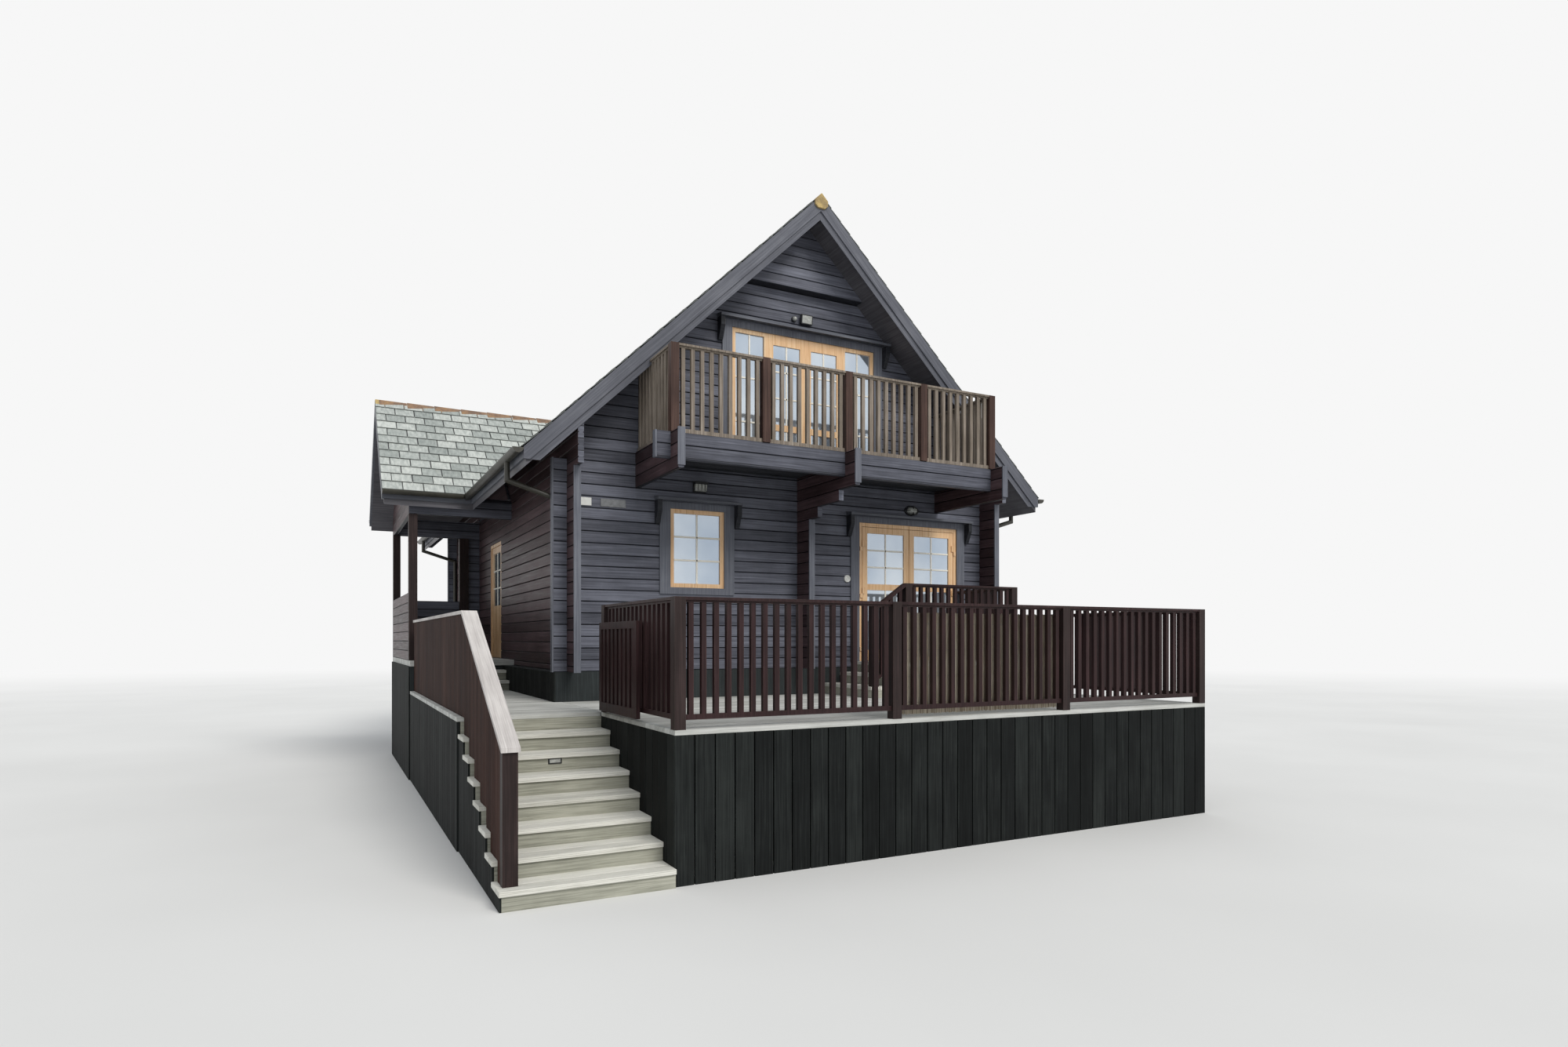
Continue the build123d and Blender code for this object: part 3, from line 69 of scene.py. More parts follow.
print("frame", [[round(v, 3) for v in corner] for corner in cad_size])

# %% [markdown]
# ## Reading places from the model
# Boards and slates sit exactly on their walls and slopes, so their places come from the packed
# nodes. Some nodes hold several solids, such as every pane of glass. A node's mesh is loose
# triangles, so its corners are first matched up by their rounded places. Then each corner takes
# the lowest label among its triangle's corners, again and again, until every separate solid has
# one label of its own. The box round each label is what the boards and bars are fitted to.


# %% Boxes of nodes and of their separate solids
def extent(node):
    """A node's lowest and highest corners, as two arrays."""
    return tuple(np.array(corner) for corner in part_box(node))


def solids_of(node):
    """Boxes of the separate solids in a node, (n, 2, 3): labels spread over shared corners."""
    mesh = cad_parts[node].data
    place = np.empty(3 * len(mesh.vertices))
    mesh.vertices.foreach_get("co", place)
    mesh.calc_loop_triangles()
    triangle = np.empty(3 * len(mesh.loop_triangles), dtype=int)
    mesh.loop_triangles.foreach_get("vertices", triangle)
    spot, same = np.unique(np.round(place.reshape(-1, 3), 5), axis=0, return_inverse=True)
    triangle = same.ravel()[triangle].reshape(-1, 3)
    label = np.arange(len(spot))
    while True:
        before = label.copy()
        np.minimum.at(label, triangle.ravel(), np.repeat(label[triangle].min(axis=1), 3))
        if (before == label).all():
            break
    low = np.full((len(spot), 3), np.inf)
    high = -low
    np.minimum.at(low, label, spot)
    np.maximum.at(high, label, spot)
    kept = np.unique(label)
    return np.stack([low[kept], high[kept]], axis=1)


# %% [markdown]
# ## The drawing's datum
# The outer faces of the left and front walls meet at the corner that a drawing would measure
# from. The floor, the first log course and the roof planes follow from the same nodes.

# %% Datum, levels and roof planes
COURSE, BOARD, PLINTH_STEP = 146 * MM, 45 * MM, 450 * MM
PITCH = math.radians(44)
house_x = extent("left_wall_front")[0][0]
house_y = extent("front_wall_over_doors")[0][1]
house_w = extent("right_wall")[1][0] - house_x
base_z = extent("front_wall_left")[0][2]
deck_z = extent("deck_frame")[1][2] + BOARD
floor_z = deck_z + PLINTH_STEP
ridge_x = house_x + house_w / 2
(eave_l, roof_y0, _), (_, roof_y1, ridge_z) = extent("left_roof_slope")
eave_z = ridge_z - (ridge_x - eave_l) * math.tan(PITCH)
(wing_x0, wing_y0, _), (wing_x1, wing_ridge_y, wing_ridge_z) = extent("porch_roof_front")
print(f"corner {house_x:.3f} {house_y:.3f}, deck {deck_z:.3f}, eaves {eave_z:.3f}, ridge {ridge_z:.3f}")

# %% [markdown]
# ## Camera at the visitor's eye
# The photograph was taken from the lawn, standing, to the left of the stairs, with a wide lens
# held level. A level camera keeps upright edges upright, so the sky that it shows above the roof
# comes from shifting the picture up and not from tipping the camera back.

# %% Camera
EYE = (-5.424, -13.987, 2.080)
LEVEL, TURNED_RIGHT = math.radians(90), math.radians(-28)
camera = bpy.data.objects.new("camera", bpy.data.cameras.new("camera"))
bpy.context.collection.objects.link(camera)
camera.location = EYE
camera.rotation_euler = (LEVEL, 0, TURNED_RIGHT)
camera.data.sensor_width = 36
camera.data.lens = 20.08
camera.data.shift_y = 0.0742
camera.data.clip_end = 500
bpy.context.scene.camera = camera
bpy.context.scene.view_settings.view_transform = "Standard"
print("camera", tuple(round(v, 3) for v in camera.location))

# %% [markdown]
# ## Colour and nodes
# Colours are written as hex values, and one function turns them to the linear values that the
# renderer works with. One more function adds a shader node with its settings and incoming links.
# The short ones after it name the nodes that come up again and again, so that each material
# below reads as a recipe.


# %% Helpers for nodes
def linear(hex_colour):
    """sRGB hex to linear RGBA: each channel goes back through the sRGB curve."""
    srgb = np.array([int(hex_colour[i:i + 2], 16) for i in (1, 3, 5)]) / 255
    rgb = np.where(srgb <= 0.04045, srgb / 12.92, ((srgb + 0.055) / 1.055) ** 2.4)
    return (*rgb.tolist(), 1.0)


def add(tree, kind, inputs=None, **settings):
    """Add a node: settings are its properties, inputs its sockets' values or what links to them."""
    made = tree.nodes.new("ShaderNode" + kind)
    for name, value in settings.items():
        setattr(made, name, value)
    for name, value in (inputs or {}).items():
        socket = made.inputs[name]
        if isinstance(value, bpy.types.NodeSocket):
            tree.links.new(value, socket)
        else:
            socket.default_value = value
    return made.outputs[0]


def calc(tree, operation, *values):
    """Arithmetic on one to three values or outputs."""
    return add(tree, "Math", dict(enumerate(values)), operation=operation)


def remap(tree, value, low, high, to_low=0.0, to_high=1.0, **settings):
    """A value carried from low..high to to_low..to_high, and held at its ends."""
    return add(tree, "MapRange", {0: value, 1: low, 2: high, 3: to_low, 4: to_high}, **settings)


def noise(tree, place, scale, detail=2.0, roughness=0.5):
    """Soft noise with about scale spots to each unit of place."""
    sockets = {"Vector": place, "Scale": scale, "Detail": detail, "Roughness": roughness}
    return add(tree, "TexNoise", sockets)


def own(tree, what="Object"):
    """The surface's own place, or its normal, in the frame of its object."""
    return tree.nodes.new("ShaderNodeTexCoord").outputs[what]


def parts(tree, vector):
    """The three parts of a vector."""
    return add(tree, "SeparateXYZ", {0: vector}).node.outputs


def off_middle(tree, share):
    """Distance of a share from one half."""
    return calc(tree, "ABSOLUTE", calc(tree, "SUBTRACT", share, 0.5))


def blend(tree, share, first, second):
    """Two colours mixed: a share of 0 gives the first one, 1 the second."""
    mix = add(tree, "Mix", {0: share, 6: first, 7: second}, data_type="RGBA")
    return mix.node.outputs[2]


def ramp(tree, factor, stops):
    """A colour ramp through (position, hex) stops."""
    out = add(tree, "ValToRGB", {"Fac": factor})
    elements = out.node.color_ramp.elements
    while len(elements) < len(stops):
        elements.new(0.5)
    for element, (position, colour) in zip(elements, stops):
        element.position = position
        element.color = linear(colour)
    return out


def three_tones(tree, factor, tones):
    """A ramp through a string of three hex tones: dark, middle and light."""
    return ramp(tree, factor, list(zip((0.1, 0.5, 0.9), tones.split())))


# %% Helpers for materials
def surface(name, **sockets):
    """A new material and its tree, with constant values set on the shader's own sockets."""
    material = bpy.data.materials.new(name)
    material.use_nodes = True
    tree = material.node_tree
    for socket, value in sockets.items():
        tree.nodes["Principled BSDF"].inputs[socket.replace("_", " ")].default_value = value
    return material, tree


def paint(tree, colour, roughness=None, height=None, strength=0.0, depth=0.0):
    """Link a colour, a roughness and the bump of a height, depth metres deep, to the shader."""
    sockets = tree.nodes["Principled BSDF"].inputs
    tree.links.new(colour, sockets["Base Color"])
    if roughness is not None:
        tree.links.new(roughness, sockets["Roughness"])
    if height is not None:
        bump = {"Height": height, "Strength": strength, "Distance": depth}
        tree.links.new(add(tree, "Bump", bump), sockets["Normal"])


# %% [markdown]
# ## Studio floor
# A plain pale floor runs far out on every side, so that no edge of it crosses the picture. It
# fades into the white background behind the lodge: the further out, the more of its colour is
# the background's own. That is only a ring of distance on the floor itself, the same from
# every side, and the lodge's soft shadow stays on it.

# %% Surfaces from grids
def grid_mesh(name, points, loop_v=False):
    """Quads over an (m, n, 3) grid of points; looped, its last column joins its first."""
    m, n = points.shape[:2]
    i, j = np.meshgrid(np.arange(m - 1), np.arange(n - (not loop_v)), indexing="ij")
    a, b = i.ravel(), j.ravel()
    c, d = a + 1, (b + 1) % n
    faces = np.stack([a * n + b, c * n + b, c * n + d, a * n + d], axis=1)
    mesh = bpy.data.meshes.new(name)
    mesh.from_pydata(points.reshape(-1, 3).tolist(), [], faces.tolist())
    return mesh


def show(name, mesh, material):
    """Put a mesh in the scene at the origin with one material."""
    made = bpy.data.objects.new(name, mesh)
    bpy.context.collection.objects.link(made)
    mesh.materials.append(material)
    return made


def spread(*columns):
    """Points from their x, y and z, each one value or an array."""
    return np.stack(np.broadcast_arrays(*columns), axis=-1)


# %% Floor
PAPER_WHITE = 0.93
FADE_STARTS, FADE_ENDS = 18.0, 60.0
radius = np.concatenate([np.linspace(0.5, 30, 12), np.linspace(40, 400, 12)])[:, None]
angle = np.linspace(0, 2 * math.pi, 64, endpoint=False)
disc = spread(radius * np.cos(angle), radius * np.sin(angle), 0.0)
paper, tree = surface("studio_floor", Roughness=0.9, Specular_IOR_Level=0.1)
place = own(tree)
paint(tree, ramp(tree, noise(tree, place, 0.25, 3.0), [(0.3, "#dcdcda"), (0.7, "#e2e2e0")]))
distance = add(tree, "VectorMath", {0: place}, operation="LENGTH").node.outputs["Value"]
far = remap(tree, distance, FADE_STARTS, FADE_ENDS, interpolation_type="SMOOTHSTEP")
white = add(tree, "Emission", {"Color": (1, 1, 1, 1), "Strength": PAPER_WHITE})
faded = add(tree, "MixShader", {0: far, 1: tree.nodes["Principled BSDF"].outputs[0], 2: white})
tree.links.new(faded, tree.nodes["Material Output"].inputs["Surface"])
backdrop = show("studio_floor", grid_mesh("studio_floor", disc, loop_v=True), paper)
backdrop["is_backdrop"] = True

# %% [markdown]
# ## Light
# The photograph was taken under a bright sky with thin cloud, and its shadows are soft. The
# world gives the even part, and a sun as wide as a cloud gives the direction, high over the front
# and a little to the right: the fronts and the treads are bright, and every left face is dark.
# What looks at the sky itself, or mirrors it, sees plain white instead.

# %% World and sun
SUN_DOWN, SUN_ROUND = math.radians(47), math.radians(12)
world = bpy.data.worlds.new("plain sky")
bpy.context.scene.world = world
world.use_nodes = True
tree = world.node_tree
light = add(tree, "Background", {"Color": linear("#f2f6fb"), "Strength": 0.7})
white = add(tree, "Background", {"Color": (1, 1, 1, 1), "Strength": PAPER_WHITE})
ray = tree.nodes.new("ShaderNodeLightPath").outputs
seen = calc(tree, "MAXIMUM", ray["Is Camera Ray"], ray["Is Glossy Ray"])
seen = calc(tree, "MAXIMUM", seen, ray["Is Transmission Ray"])
sky = add(tree, "MixShader", {0: seen, 1: light, 2: white})
tree.links.new(sky, tree.nodes["World Output"].inputs["Surface"])
lamp = bpy.data.lights.new("soft sun", "SUN")
lamp.energy = 1.9
lamp.angle = math.radians(25)
lamp.color = (1.0, 0.97, 0.93)
sun = bpy.data.objects.new("soft sun", lamp)
bpy.context.collection.objects.link(sun)
sun.rotation_euler = (SUN_DOWN, 0, SUN_ROUND)
print("world and sun placed")

# %% [markdown]
# ## Many six-sided pieces in one mesh
# Slates, deck boards, glazing bars and skirting boards are all long six-sided pieces, hundreds of
# them. Each one is eight corners, every mix of its low and high values in a frame of its own
# (along, across, out), and whole arrays of corners can be sheared, tapered or cut to a slope
# before they are placed. A UV map carries metres along the piece's length, with a jump per
# piece, so that grain runs along every board and never lines up with its neighbour's, a second
# map goes from 0 to 1 over each piece, which the slates use to paint shade at their edges, and
# an attribute named board gives each piece one random value for its tone.

# %% The piece builder
PICK = np.array([[i >> 2 & 1, i >> 1 & 1, i & 1] for i in range(8)])
SIDES = np.array([[0, 1, 3, 2], [4, 6, 7, 5], [0, 4, 5, 1], [2, 3, 7, 6], [0, 2, 6, 4], [1, 5, 7, 3]])
WORLD = (np.zeros(3), np.eye(3))


def corners(low, high):
    """Corners of boxes, (n, 8, 3): low + pick * (high - low), for every mix of 0 and 1 in pick."""
    low, high = np.atleast_2d(np.array(low, float)), np.atleast_2d(np.array(high, float))
    return low[:, None] + PICK[None] * (high - low)[:, None]


def give_tones(mesh, count, share):
    """The attribute named board: one random value for each of count pieces of share vertices."""
    tone = mesh.attributes.new("board", "FLOAT", "POINT")
    tone.data.foreach_set("value", np.repeat(rng.random(count), share))


def pieces(name, corner, material, body="root", grain=0, bevel=2.0, stands_for=(), at=WORLD):
    """One mesh of six-sided pieces: place = origin + corner @ axes; bevel in millimetres."""
    count = len(corner)
    origin, axes = at
    place = origin + corner @ np.array(axes, float)
    faces = (SIDES[None] + 8 * np.arange(count)[:, None, None]).reshape(-1, 4)
    mesh = bpy.data.meshes.new(name)
    mesh.from_pydata(place.reshape(-1, 3).tolist(), [], faces.tolist())
    local = (corner + rng.uniform(0, 30, (count, 1, 3))).reshape(-1, 3)[faces.ravel()]
    along = local[:, grain]
    uv = np.stack([along, local.sum(axis=1) - along], axis=1)
    mesh.uv_layers.new(name="grain").data.foreach_set("uv", uv.ravel())
    share = np.tile(PICK[SIDES.ravel()][:, :2], (count, 1)).astype(float)
    mesh.uv_layers.new(name="share").data.foreach_set("uv", share.ravel())
    give_tones(mesh, count, 8)
    made = show(name, mesh, material)
    if bevel:
        edge = made.modifiers.new("eased edges", "BEVEL")
        edge.width, edge.segments, edge.limit_method = bevel * MM, 1, "ANGLE"
        edge.angle_limit = math.radians(40)
    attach(made, body)
    for node in stands_for:
        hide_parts(node)
    print(f"{name}: {count} pieces")
    return made


def rows(start, stop, pitch, gap):
    """Low and high edges of boards of about one pitch that fill start to stop, with a gap between."""
    count = max(1, round((stop - start) / pitch))
    edge = np.linspace(start, stop + gap, count + 1)
    return edge[:-1], edge[1:] - gap


def boards(low, high, axis, pitch, gap):
    """A box filled with boards side by side along axis 0, 1 or 2, as their corners."""
    starts, stops = rows(low[axis], high[axis], pitch, gap)
    near, far = (np.tile(np.array(side, float), (starts.size, 1)) for side in (low, high))
    near[:, axis] = starts
    far[:, axis] = stops
    return corners(near, far)


# %% [markdown]
# ## Timber, the finish of almost everything
# Every timber on the lodge is sawn or planed softwood under a stain, a varnish or plain weather.
# The eye reads long grain streaks a few millimetres wide, slow changes of tone, a different tone
# for each board, and a slightly raised grain that breaks up the light. One recipe makes them
# all: noise squeezed across the grain, a soft noise for patches and a value per board or per log.
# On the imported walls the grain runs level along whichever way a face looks; on posts it runs
# upright, on barge boards up the rake, on the guard's cap along Y, and on the boards made here
# along their UV map.


# %% Which way a face looks and where its grain runs
def faces_sideways(tree):
    """1 on a face that looks along X more than along Y, else 0."""
    facing = parts(tree, own(tree, "Normal"))
    size = [calc(tree, "ABSOLUTE", facing[i]) for i in (0, 1)]
    return calc(tree, "GREATER_THAN", *size)


def grain_place(tree, along):
    """Texture coordinates whose first axis runs along the grain, in metres."""
    if along == "uv":
        return add(tree, "UVMap", uv_map="grain")
    place = own(tree)
    if along == "rake":
        # Mirrored about the ridge, then turned by the pitch: first axis up the rake on both sides
        centred = add(tree, "VectorMath", {0: place, 1: (ridge_x, 0, 0)}, operation="SUBTRACT")
        mirrored = add(tree, "VectorMath", {0: centred}, operation="ABSOLUTE")
        return add(tree, "Mapping", {"Vector": mirrored, "Rotation": (0, -PITCH, 0)})
    part = parts(tree, place)
    if along == "y":
        return add(tree, "CombineXYZ", {0: part[1], 1: part[0]})
    if along == "z":
        return add(tree, "CombineXYZ", {0: part[2], 1: part[0], 2: part[1]})
    side = faces_sideways(tree)
    run = add(tree, "Mix", {0: side, 2: part[0], 3: part[1]})
    rest = add(tree, "Mix", {0: side, 2: part[1], 3: part[0]})
    return add(tree, "CombineXYZ", {0: run, 1: part[2], 2: rest})


# %% What varies along a wall
def between(tree, low, high):
    """1 where the surface's own height lies between two levels, else 0."""
    return calc(tree, "COMPARE", parts(tree, own(tree))[2], (low + high) / 2, (high - low) / 2)


def log_course(tree, start, shift):
    """A random value for each level course, and the joint between two courses, where shade is painted.

    A course starts at the level start; on sideways faces it lies shift of a course higher or lower,
    because crossed logs are notched over each other.
    """
    shifted = calc(tree, "MULTIPLY_ADD", faces_sideways(tree), shift, -start / COURSE)
    course = calc(tree, "MULTIPLY_ADD", parts(tree, own(tree))[2], 1 / COURSE, shifted)
    floor = calc(tree, "FLOOR", course)
    value = add(tree, "TexWhiteNoise", {"W": floor}, noise_dimensions="1D")
    return value, remap(tree, off_middle(tree, calc(tree, "FRACT", course)), 0.44, 0.485, 0.0, 0.85)


def board_value(tree):
    """The random value of the piece."""
    return add(tree, "Attribute", attribute_name="board").node.outputs["Fac"]


def worn_arris(tree, rubbed):
    """How much of an edge is worn: there a rounded normal turns away from the flat face's own."""
    rounded = add(tree, "Bevel", {"Radius": 6 * MM}, samples=2)
    flat = tree.nodes.new("ShaderNodeNewGeometry").outputs["True Normal"]
    turned = add(tree, "VectorMath", {0: rounded, 1: flat}, operation="DOT_PRODUCT")
    arris = remap(tree, turned.node.outputs["Value"], 0.97, 0.8, 0.0, 0.7)
    return arris, remap(tree, rubbed, 0.4, 0.6, 0.2, 1.0)


# %% Timber recipe
# Near black painted into the groove between log courses, as the shade there
JOINT_SHADE = "#0c0d10"


def timber(name, tones, along="uv", *, roughness, wear, worn, streak=6, gloss=0.2, grooves=0,
           logs=None, left_shade=None, second=()):
    """Stained or weathered softwood, with streaks streak mm wide and forty times as long.

    logs gives the start and shift of its log courses. Three left-face tones, when given, are
    painted shade: darker and browner tones on faces that look left, away from the sun. Some nodes
    hold pieces with two sets of tones, such as a second stain on posts and partly painted shade on
    hood brackets: each entry of second is a low level, a high level and the tones that hold between them.
    """
    material, tree = surface(name, IOR=1.5, Specular_IOR_Level=gloss)
    place = grain_place(tree, along)
    fine = 0.35 / (streak * MM)
    squeezed = add(tree, "Mapping", {"Vector": place, "Scale": (fine / 40, fine, fine)})
    streaks = noise(tree, squeezed, 1.0, 5.0, 0.6)
    patches = noise(tree, place, 1.7, 4.0, 0.6)
    if logs:
        piece, joint_shade = log_course(tree, *logs)
    else:
        piece = board_value(tree) if along == "uv" else noise(tree, place, 0.6)
    tone = calc(tree, "MULTIPLY_ADD", patches, 0.5, streaks)
    tone = calc(tree, "MULTIPLY_ADD", piece, 0.3, tone)
    tone = remap(tree, tone, 0.5, 1.25)
    colour = three_tones(tree, tone, tones)
    for low, high, others in second:
        colour = blend(tree, between(tree, low, high), colour, three_tones(tree, tone, others))
    # Faces that look left take darker, browner tones: painted shade on the side away from the sun
    if left_shade:
        shaded_side = calc(tree, "LESS_THAN", parts(tree, own(tree, "Normal"))[0], -0.5)
        colour = blend(tree, shaded_side, colour, three_tones(tree, tone, left_shade))
    rubbed = noise(tree, squeezed, 0.4, 5.0, 0.75)
    share = remap(tree, rubbed, 0.6, 0.75, 0.0, wear * 2)
    share = calc(tree, "MULTIPLY_ADD", *worn_arris(tree, rubbed), share)
    colour = blend(tree, share, colour, linear(worn))
    # Painted shade along the groove between two log courses
    if logs:
        colour = blend(tree, joint_shade, colour, linear(JOINT_SHADE))
    height = streaks
    if grooves:
        # Anti-slip grooves along the board, one every few millimetres across it
        turns = calc(tree, "MULTIPLY", parts(tree, place)[1], 2 * math.pi / (grooves * MM))
        height = calc(tree, "MULTIPLY_ADD", calc(tree, "SINE", turns), 2.0, streaks)
    rough = remap(tree, streaks, 0.3, 0.7, roughness - 0.1, roughness + 0.12)
    paint(tree, colour, rough, height, 0.4, 1.5 * MM)
    return material


# %% [markdown]
# ## The stains and weathers of this lodge
# The logs carry an almost black blue-grey stain, the barge and cover boards the same stain
# bleached paler, the deck rails a red-brown one, and the balcony rails a brown one that the
# weather has thinned. Treads and deck boards were never stained and have silvered. The window
# and door frames are varnished, so they are smoother and keep their honey colour. Faces of the
# logs that look left are painted darker and browner, as shade on the side away from the sun. A
# white sky mirrors strongly at a grazing view, so the dark stains have little gloss and the
# boards of the guard, seen edge on, almost none.

# %% Blue-grey stains of the house
STAIN = dict(roughness=0.44, wear=0.12, worn="#6d6f76")
LOG_TONES = "#3d3f47 #595b65 #787b87"
# Darker, browner tones for log faces that look left: painted shade, away from the sun
LEFT_SHADE_TONES = "#2a1e1f #3f3032 #5c4a4d"
BLEACHED = "#4b4e55 #5f626a #767980"
BRACKET_STAIN_AND_SHADE = "#1d1f23 #2a2c31 #3b3d43"
BRACKET_H, SHELF_T = 0.4, 59 * MM
STARTS = {
    "house": (base_z, 0.5),
    "beams": (base_z, 0.0),
    "fascia": (extent("balcony_fascia_logs")[1][2], 0.0),
    "porch_walls": (floor_z, 0.0),
    "porch_gables": (extent("porch_gables")[0][2], 0.0),
}
logs = {}
for name, start in STARTS.items():
    made = timber("stained_logs_" + name, LOG_TONES, "level", logs=start, left_shade=LEFT_SHADE_TONES, **STAIN)
    logs[name] = made
shelves = sorted({round(solid[1][2] - SHELF_T, 3) for solid in solids_of("window_hoods")})
# The brackets under each hood shelf take darker tones: partly a darker stain, partly painted shade under
# the shelf and eaves
brackets = [(shelf - BRACKET_H, shelf, BRACKET_STAIN_AND_SHADE) for shelf in shelves]
hood_boards = timber("hood_boards", BLEACHED, "level", second=brackets, **STAIN)
grey_level = timber("bleached_boards_level", BLEACHED, "level", **STAIN)
grey_upright = timber("bleached_boards_upright", "#4e5159 #646770 #7c7f87", "z", **STAIN)
grey_rake = timber("bleached_boards_raking", "#484a51 #5c5e66 #74767d", "rake", **STAIN)
soffit = timber("stained_soffit", "#444347 #5a595e #706f74", "level", **STAIN)
balcony_boards = timber(
    "stained_balcony_boards", "#24262a #33353a #45474d", roughness=0.6, wear=0.1, worn="#6d6f76")

# %% Black and brown stains of the deck and the rails
BROWN_WORN, BALCONY_FLOOR, ABOVE_RAILS = "#6b5a53", 4.44, 6.0
balcony_posts = (BALCONY_FLOOR, ABOVE_RAILS, "#2a1d18 #43302a #5f4a41")
skirt_stain = timber(
    "black_green_boards", "#131414 #1d1f1f #2d302f", roughness=0.65, wear=0.2, worn="#4c524f", gloss=0.05)
base_stain = timber(
    "black_green_base", "#1e2223 #2c3132 #3d4344", "z", roughness=0.6, wear=0.1, worn="#555d59")
rail_stain = timber(
    "dark_brown_rails", "#190f10 #29191a #3f2a2b", "z", roughness=0.45, wear=0.1, worn=BROWN_WORN)
rail_boards = timber(
    "dark_brown_boards", "#1f1514 #33231f #4a3630", roughness=0.6, wear=0.08, worn=BROWN_WORN, gloss=0.02)
balcony_wood = timber(
    "thinned_brown_rails", "#524a41 #7b7166 #a59b90", "z", roughness=0.65, wear=0.3, worn="#a89c8c")
post_stain = timber(
    "post_stain", "#1a1313 #291f1e #3d302f", "z", roughness=0.5, wear=0.1, worn=BROWN_WORN,
    second=[balcony_posts])

# %% Silvered, varnished and bare softwood
SILVER = dict(roughness=0.75, wear=0.3, worn="#8d8a7c", streak=4)
RISER = dict(roughness=0.75, wear=0.45, worn="#55554a", streak=4)
RISER_TONES = "#74756a #9e9e91 #bcbbae"
silver_boards = timber("silvered_boards", "#9c9d98 #bebfbb #d7d8d4", **SILVER)
silver_treads = timber("silvered_grooved_treads", "#b3b2a8 #d9d8cf #ecebe3", grooves=14, **SILVER)
riser_wood = timber("silvered_risers", RISER_TONES, "level", **RISER)
riser_boards = timber("silvered_riser_boards", RISER_TONES, **RISER)
cap_wood = timber(
    "silvered_cap", "#9c9793 #bdb8b5 #d9d5d1", "y", roughness=0.7, wear=0.3, worn="#8c8885", streak=5)
honey = timber(
    "varnished_frames", "#c9996a #e4ba8c #f2d3aa", "z", roughness=0.3, wear=0.05, worn="#b5814b",
    streak=7, gloss=0.5)
frame_wood = timber(
    "sawn_joists", "#4a4033 #645746 #7d6f5c", "level", roughness=0.8, wear=0.1, worn="#8a7d68")

# %% [markdown]
# ## Glass, metal and plastic
# The panes are double glazed in front of a dark room. Four faces of glass mirror the bright sky,
# and the room adds almost nothing, so the finish leans on a mirror's part, whose cold blue tint
# is a painted reflection of the sky, and on the slight pillow of sealed units, and only the rest
# of it is clear. Gutters and pipes are dark olive plastic-coated steel, hinges are galvanised
# steel, the lamps are moulded plastic, and lead lines the valleys.


# %% Other materials
def mottled(name, dark, light, spot_mm, roughness, depth_mm=0.3, **sockets):
    """Two tones in soft spots of about spot_mm, and a matching slight unevenness."""
    material, tree = surface(name, **sockets)
    spots = noise(tree, own(tree), 0.5 / (spot_mm * MM), 5.0, 0.65)
    colour = ramp(tree, spots, [(0.35, dark), (0.65, light)])
    rough = remap(tree, spots, 0.3, 0.7, roughness - 0.08, roughness + 0.08)
    paint(tree, colour, rough, spots, 0.5, depth_mm * MM)
    return material


glass, tree = surface(
    "double_glazing", IOR=1.52, Metallic=0.72, Roughness=0.04, Coat_Weight=0.5, Coat_Roughness=0.02)
place = own(tree)
# The mirror's cold blue tint, in soft patches, is a painted reflection of the sky
painted_sky_tint = ramp(tree, noise(tree, place, 0.9, 3.0), [(0.3, "#adbccd"), (0.7, "#d9e2ea")])
paint(tree, painted_sky_tint, None, noise(tree, place, 2.2, 1.0), 0.25, 4 * MM)
bar_paint = mottled("cream_painted_bars", "#ebe6d8", "#f5f1e6", 60, 0.4, IOR=1.5)
olive_metal = mottled("olive_coated_steel", "#2d2c26", "#3d3b33", 90, 0.4, IOR=1.5)
steel = mottled("galvanised_steel", "#85888c", "#a4a7ab", 25, 0.4, Metallic=1.0)
lead = mottled("lead_sheet", "#6f757c", "#8b9198", 120, 0.55, 1.0, Metallic=0.6)
lamp_body = mottled("lamp_plastic", "#1f2022", "#2c2d30", 40, 0.45, IOR=1.46)
lamp_lens = mottled("prismatic_lens", "#8f918d", "#b3b5b0", 18, 0.25, 0.8, IOR=1.5)
plate_face = mottled("enamel_plate", "#d7d8d4", "#e6e7e3", 70, 0.35, IOR=1.5)
weathered_plate = mottled("weathered_name_board", "#6c6e70", "#8b8d8f", 50, 0.5, IOR=1.5)
screed = mottled("floor_screed", "#a69c8d", "#b8ae9f", 200, 0.7)

# %% [markdown]
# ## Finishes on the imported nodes
# A node whose shape is right stays as it is and only gets its finish. Level logs and boards take
# the level grain, posts and balusters the upright one, and the barge boards the raking one.

# %% Assign finishes
FINISH = {
    logs["house"]: """front_wall_left front_wall_over_doors front_wall_right gable_front back_wall
        left_wall_front left_wall_over_door left_wall_back right_wall""",
    logs["beams"]: "balcony_beams stepped_log_corbel",
    logs["fascia"]: "balcony_fascia_logs",
    logs["porch_walls"]: "porch_log_walls",
    logs["porch_gables"]: "porch_gables porch_beams",
    grey_rake: "barge_boards",
    grey_upright: "trim_boards",
    grey_level: "eaves_boards",
    hood_boards: "window_hoods",
    rail_stain: "deck_railings gate stair_guard_boards landing_guard_boards reed_screen",
    post_stain: "timber_posts",
    balcony_wood: "balcony_railings",
    riser_wood: "stair_risers porch_steps raised_landing",
    base_stain: "plinth porch_base stair_strings",
    cap_wood: "guard_cap",
    honey: """window_frames upper_window_set glazed_door_frame glazed_door_left glazed_door_right
        entrance_frame entrance_door""",
    soffit: "left_roof_slope right_roof_slope porch_roof_front porch_roof_back",
    screed: "floors",
    frame_wood: "deck_frame",
    glass: "window_glass glazed_door_left_glass glazed_door_right_glass entrance_door_glass",
    olive_metal: "gutters downpipes",
    steel: "gate_hinge_eyes",
}
for material, names in FINISH.items():
    for name in names.split():
        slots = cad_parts[name].data.materials
        slots.clear()
        slots.append(material)
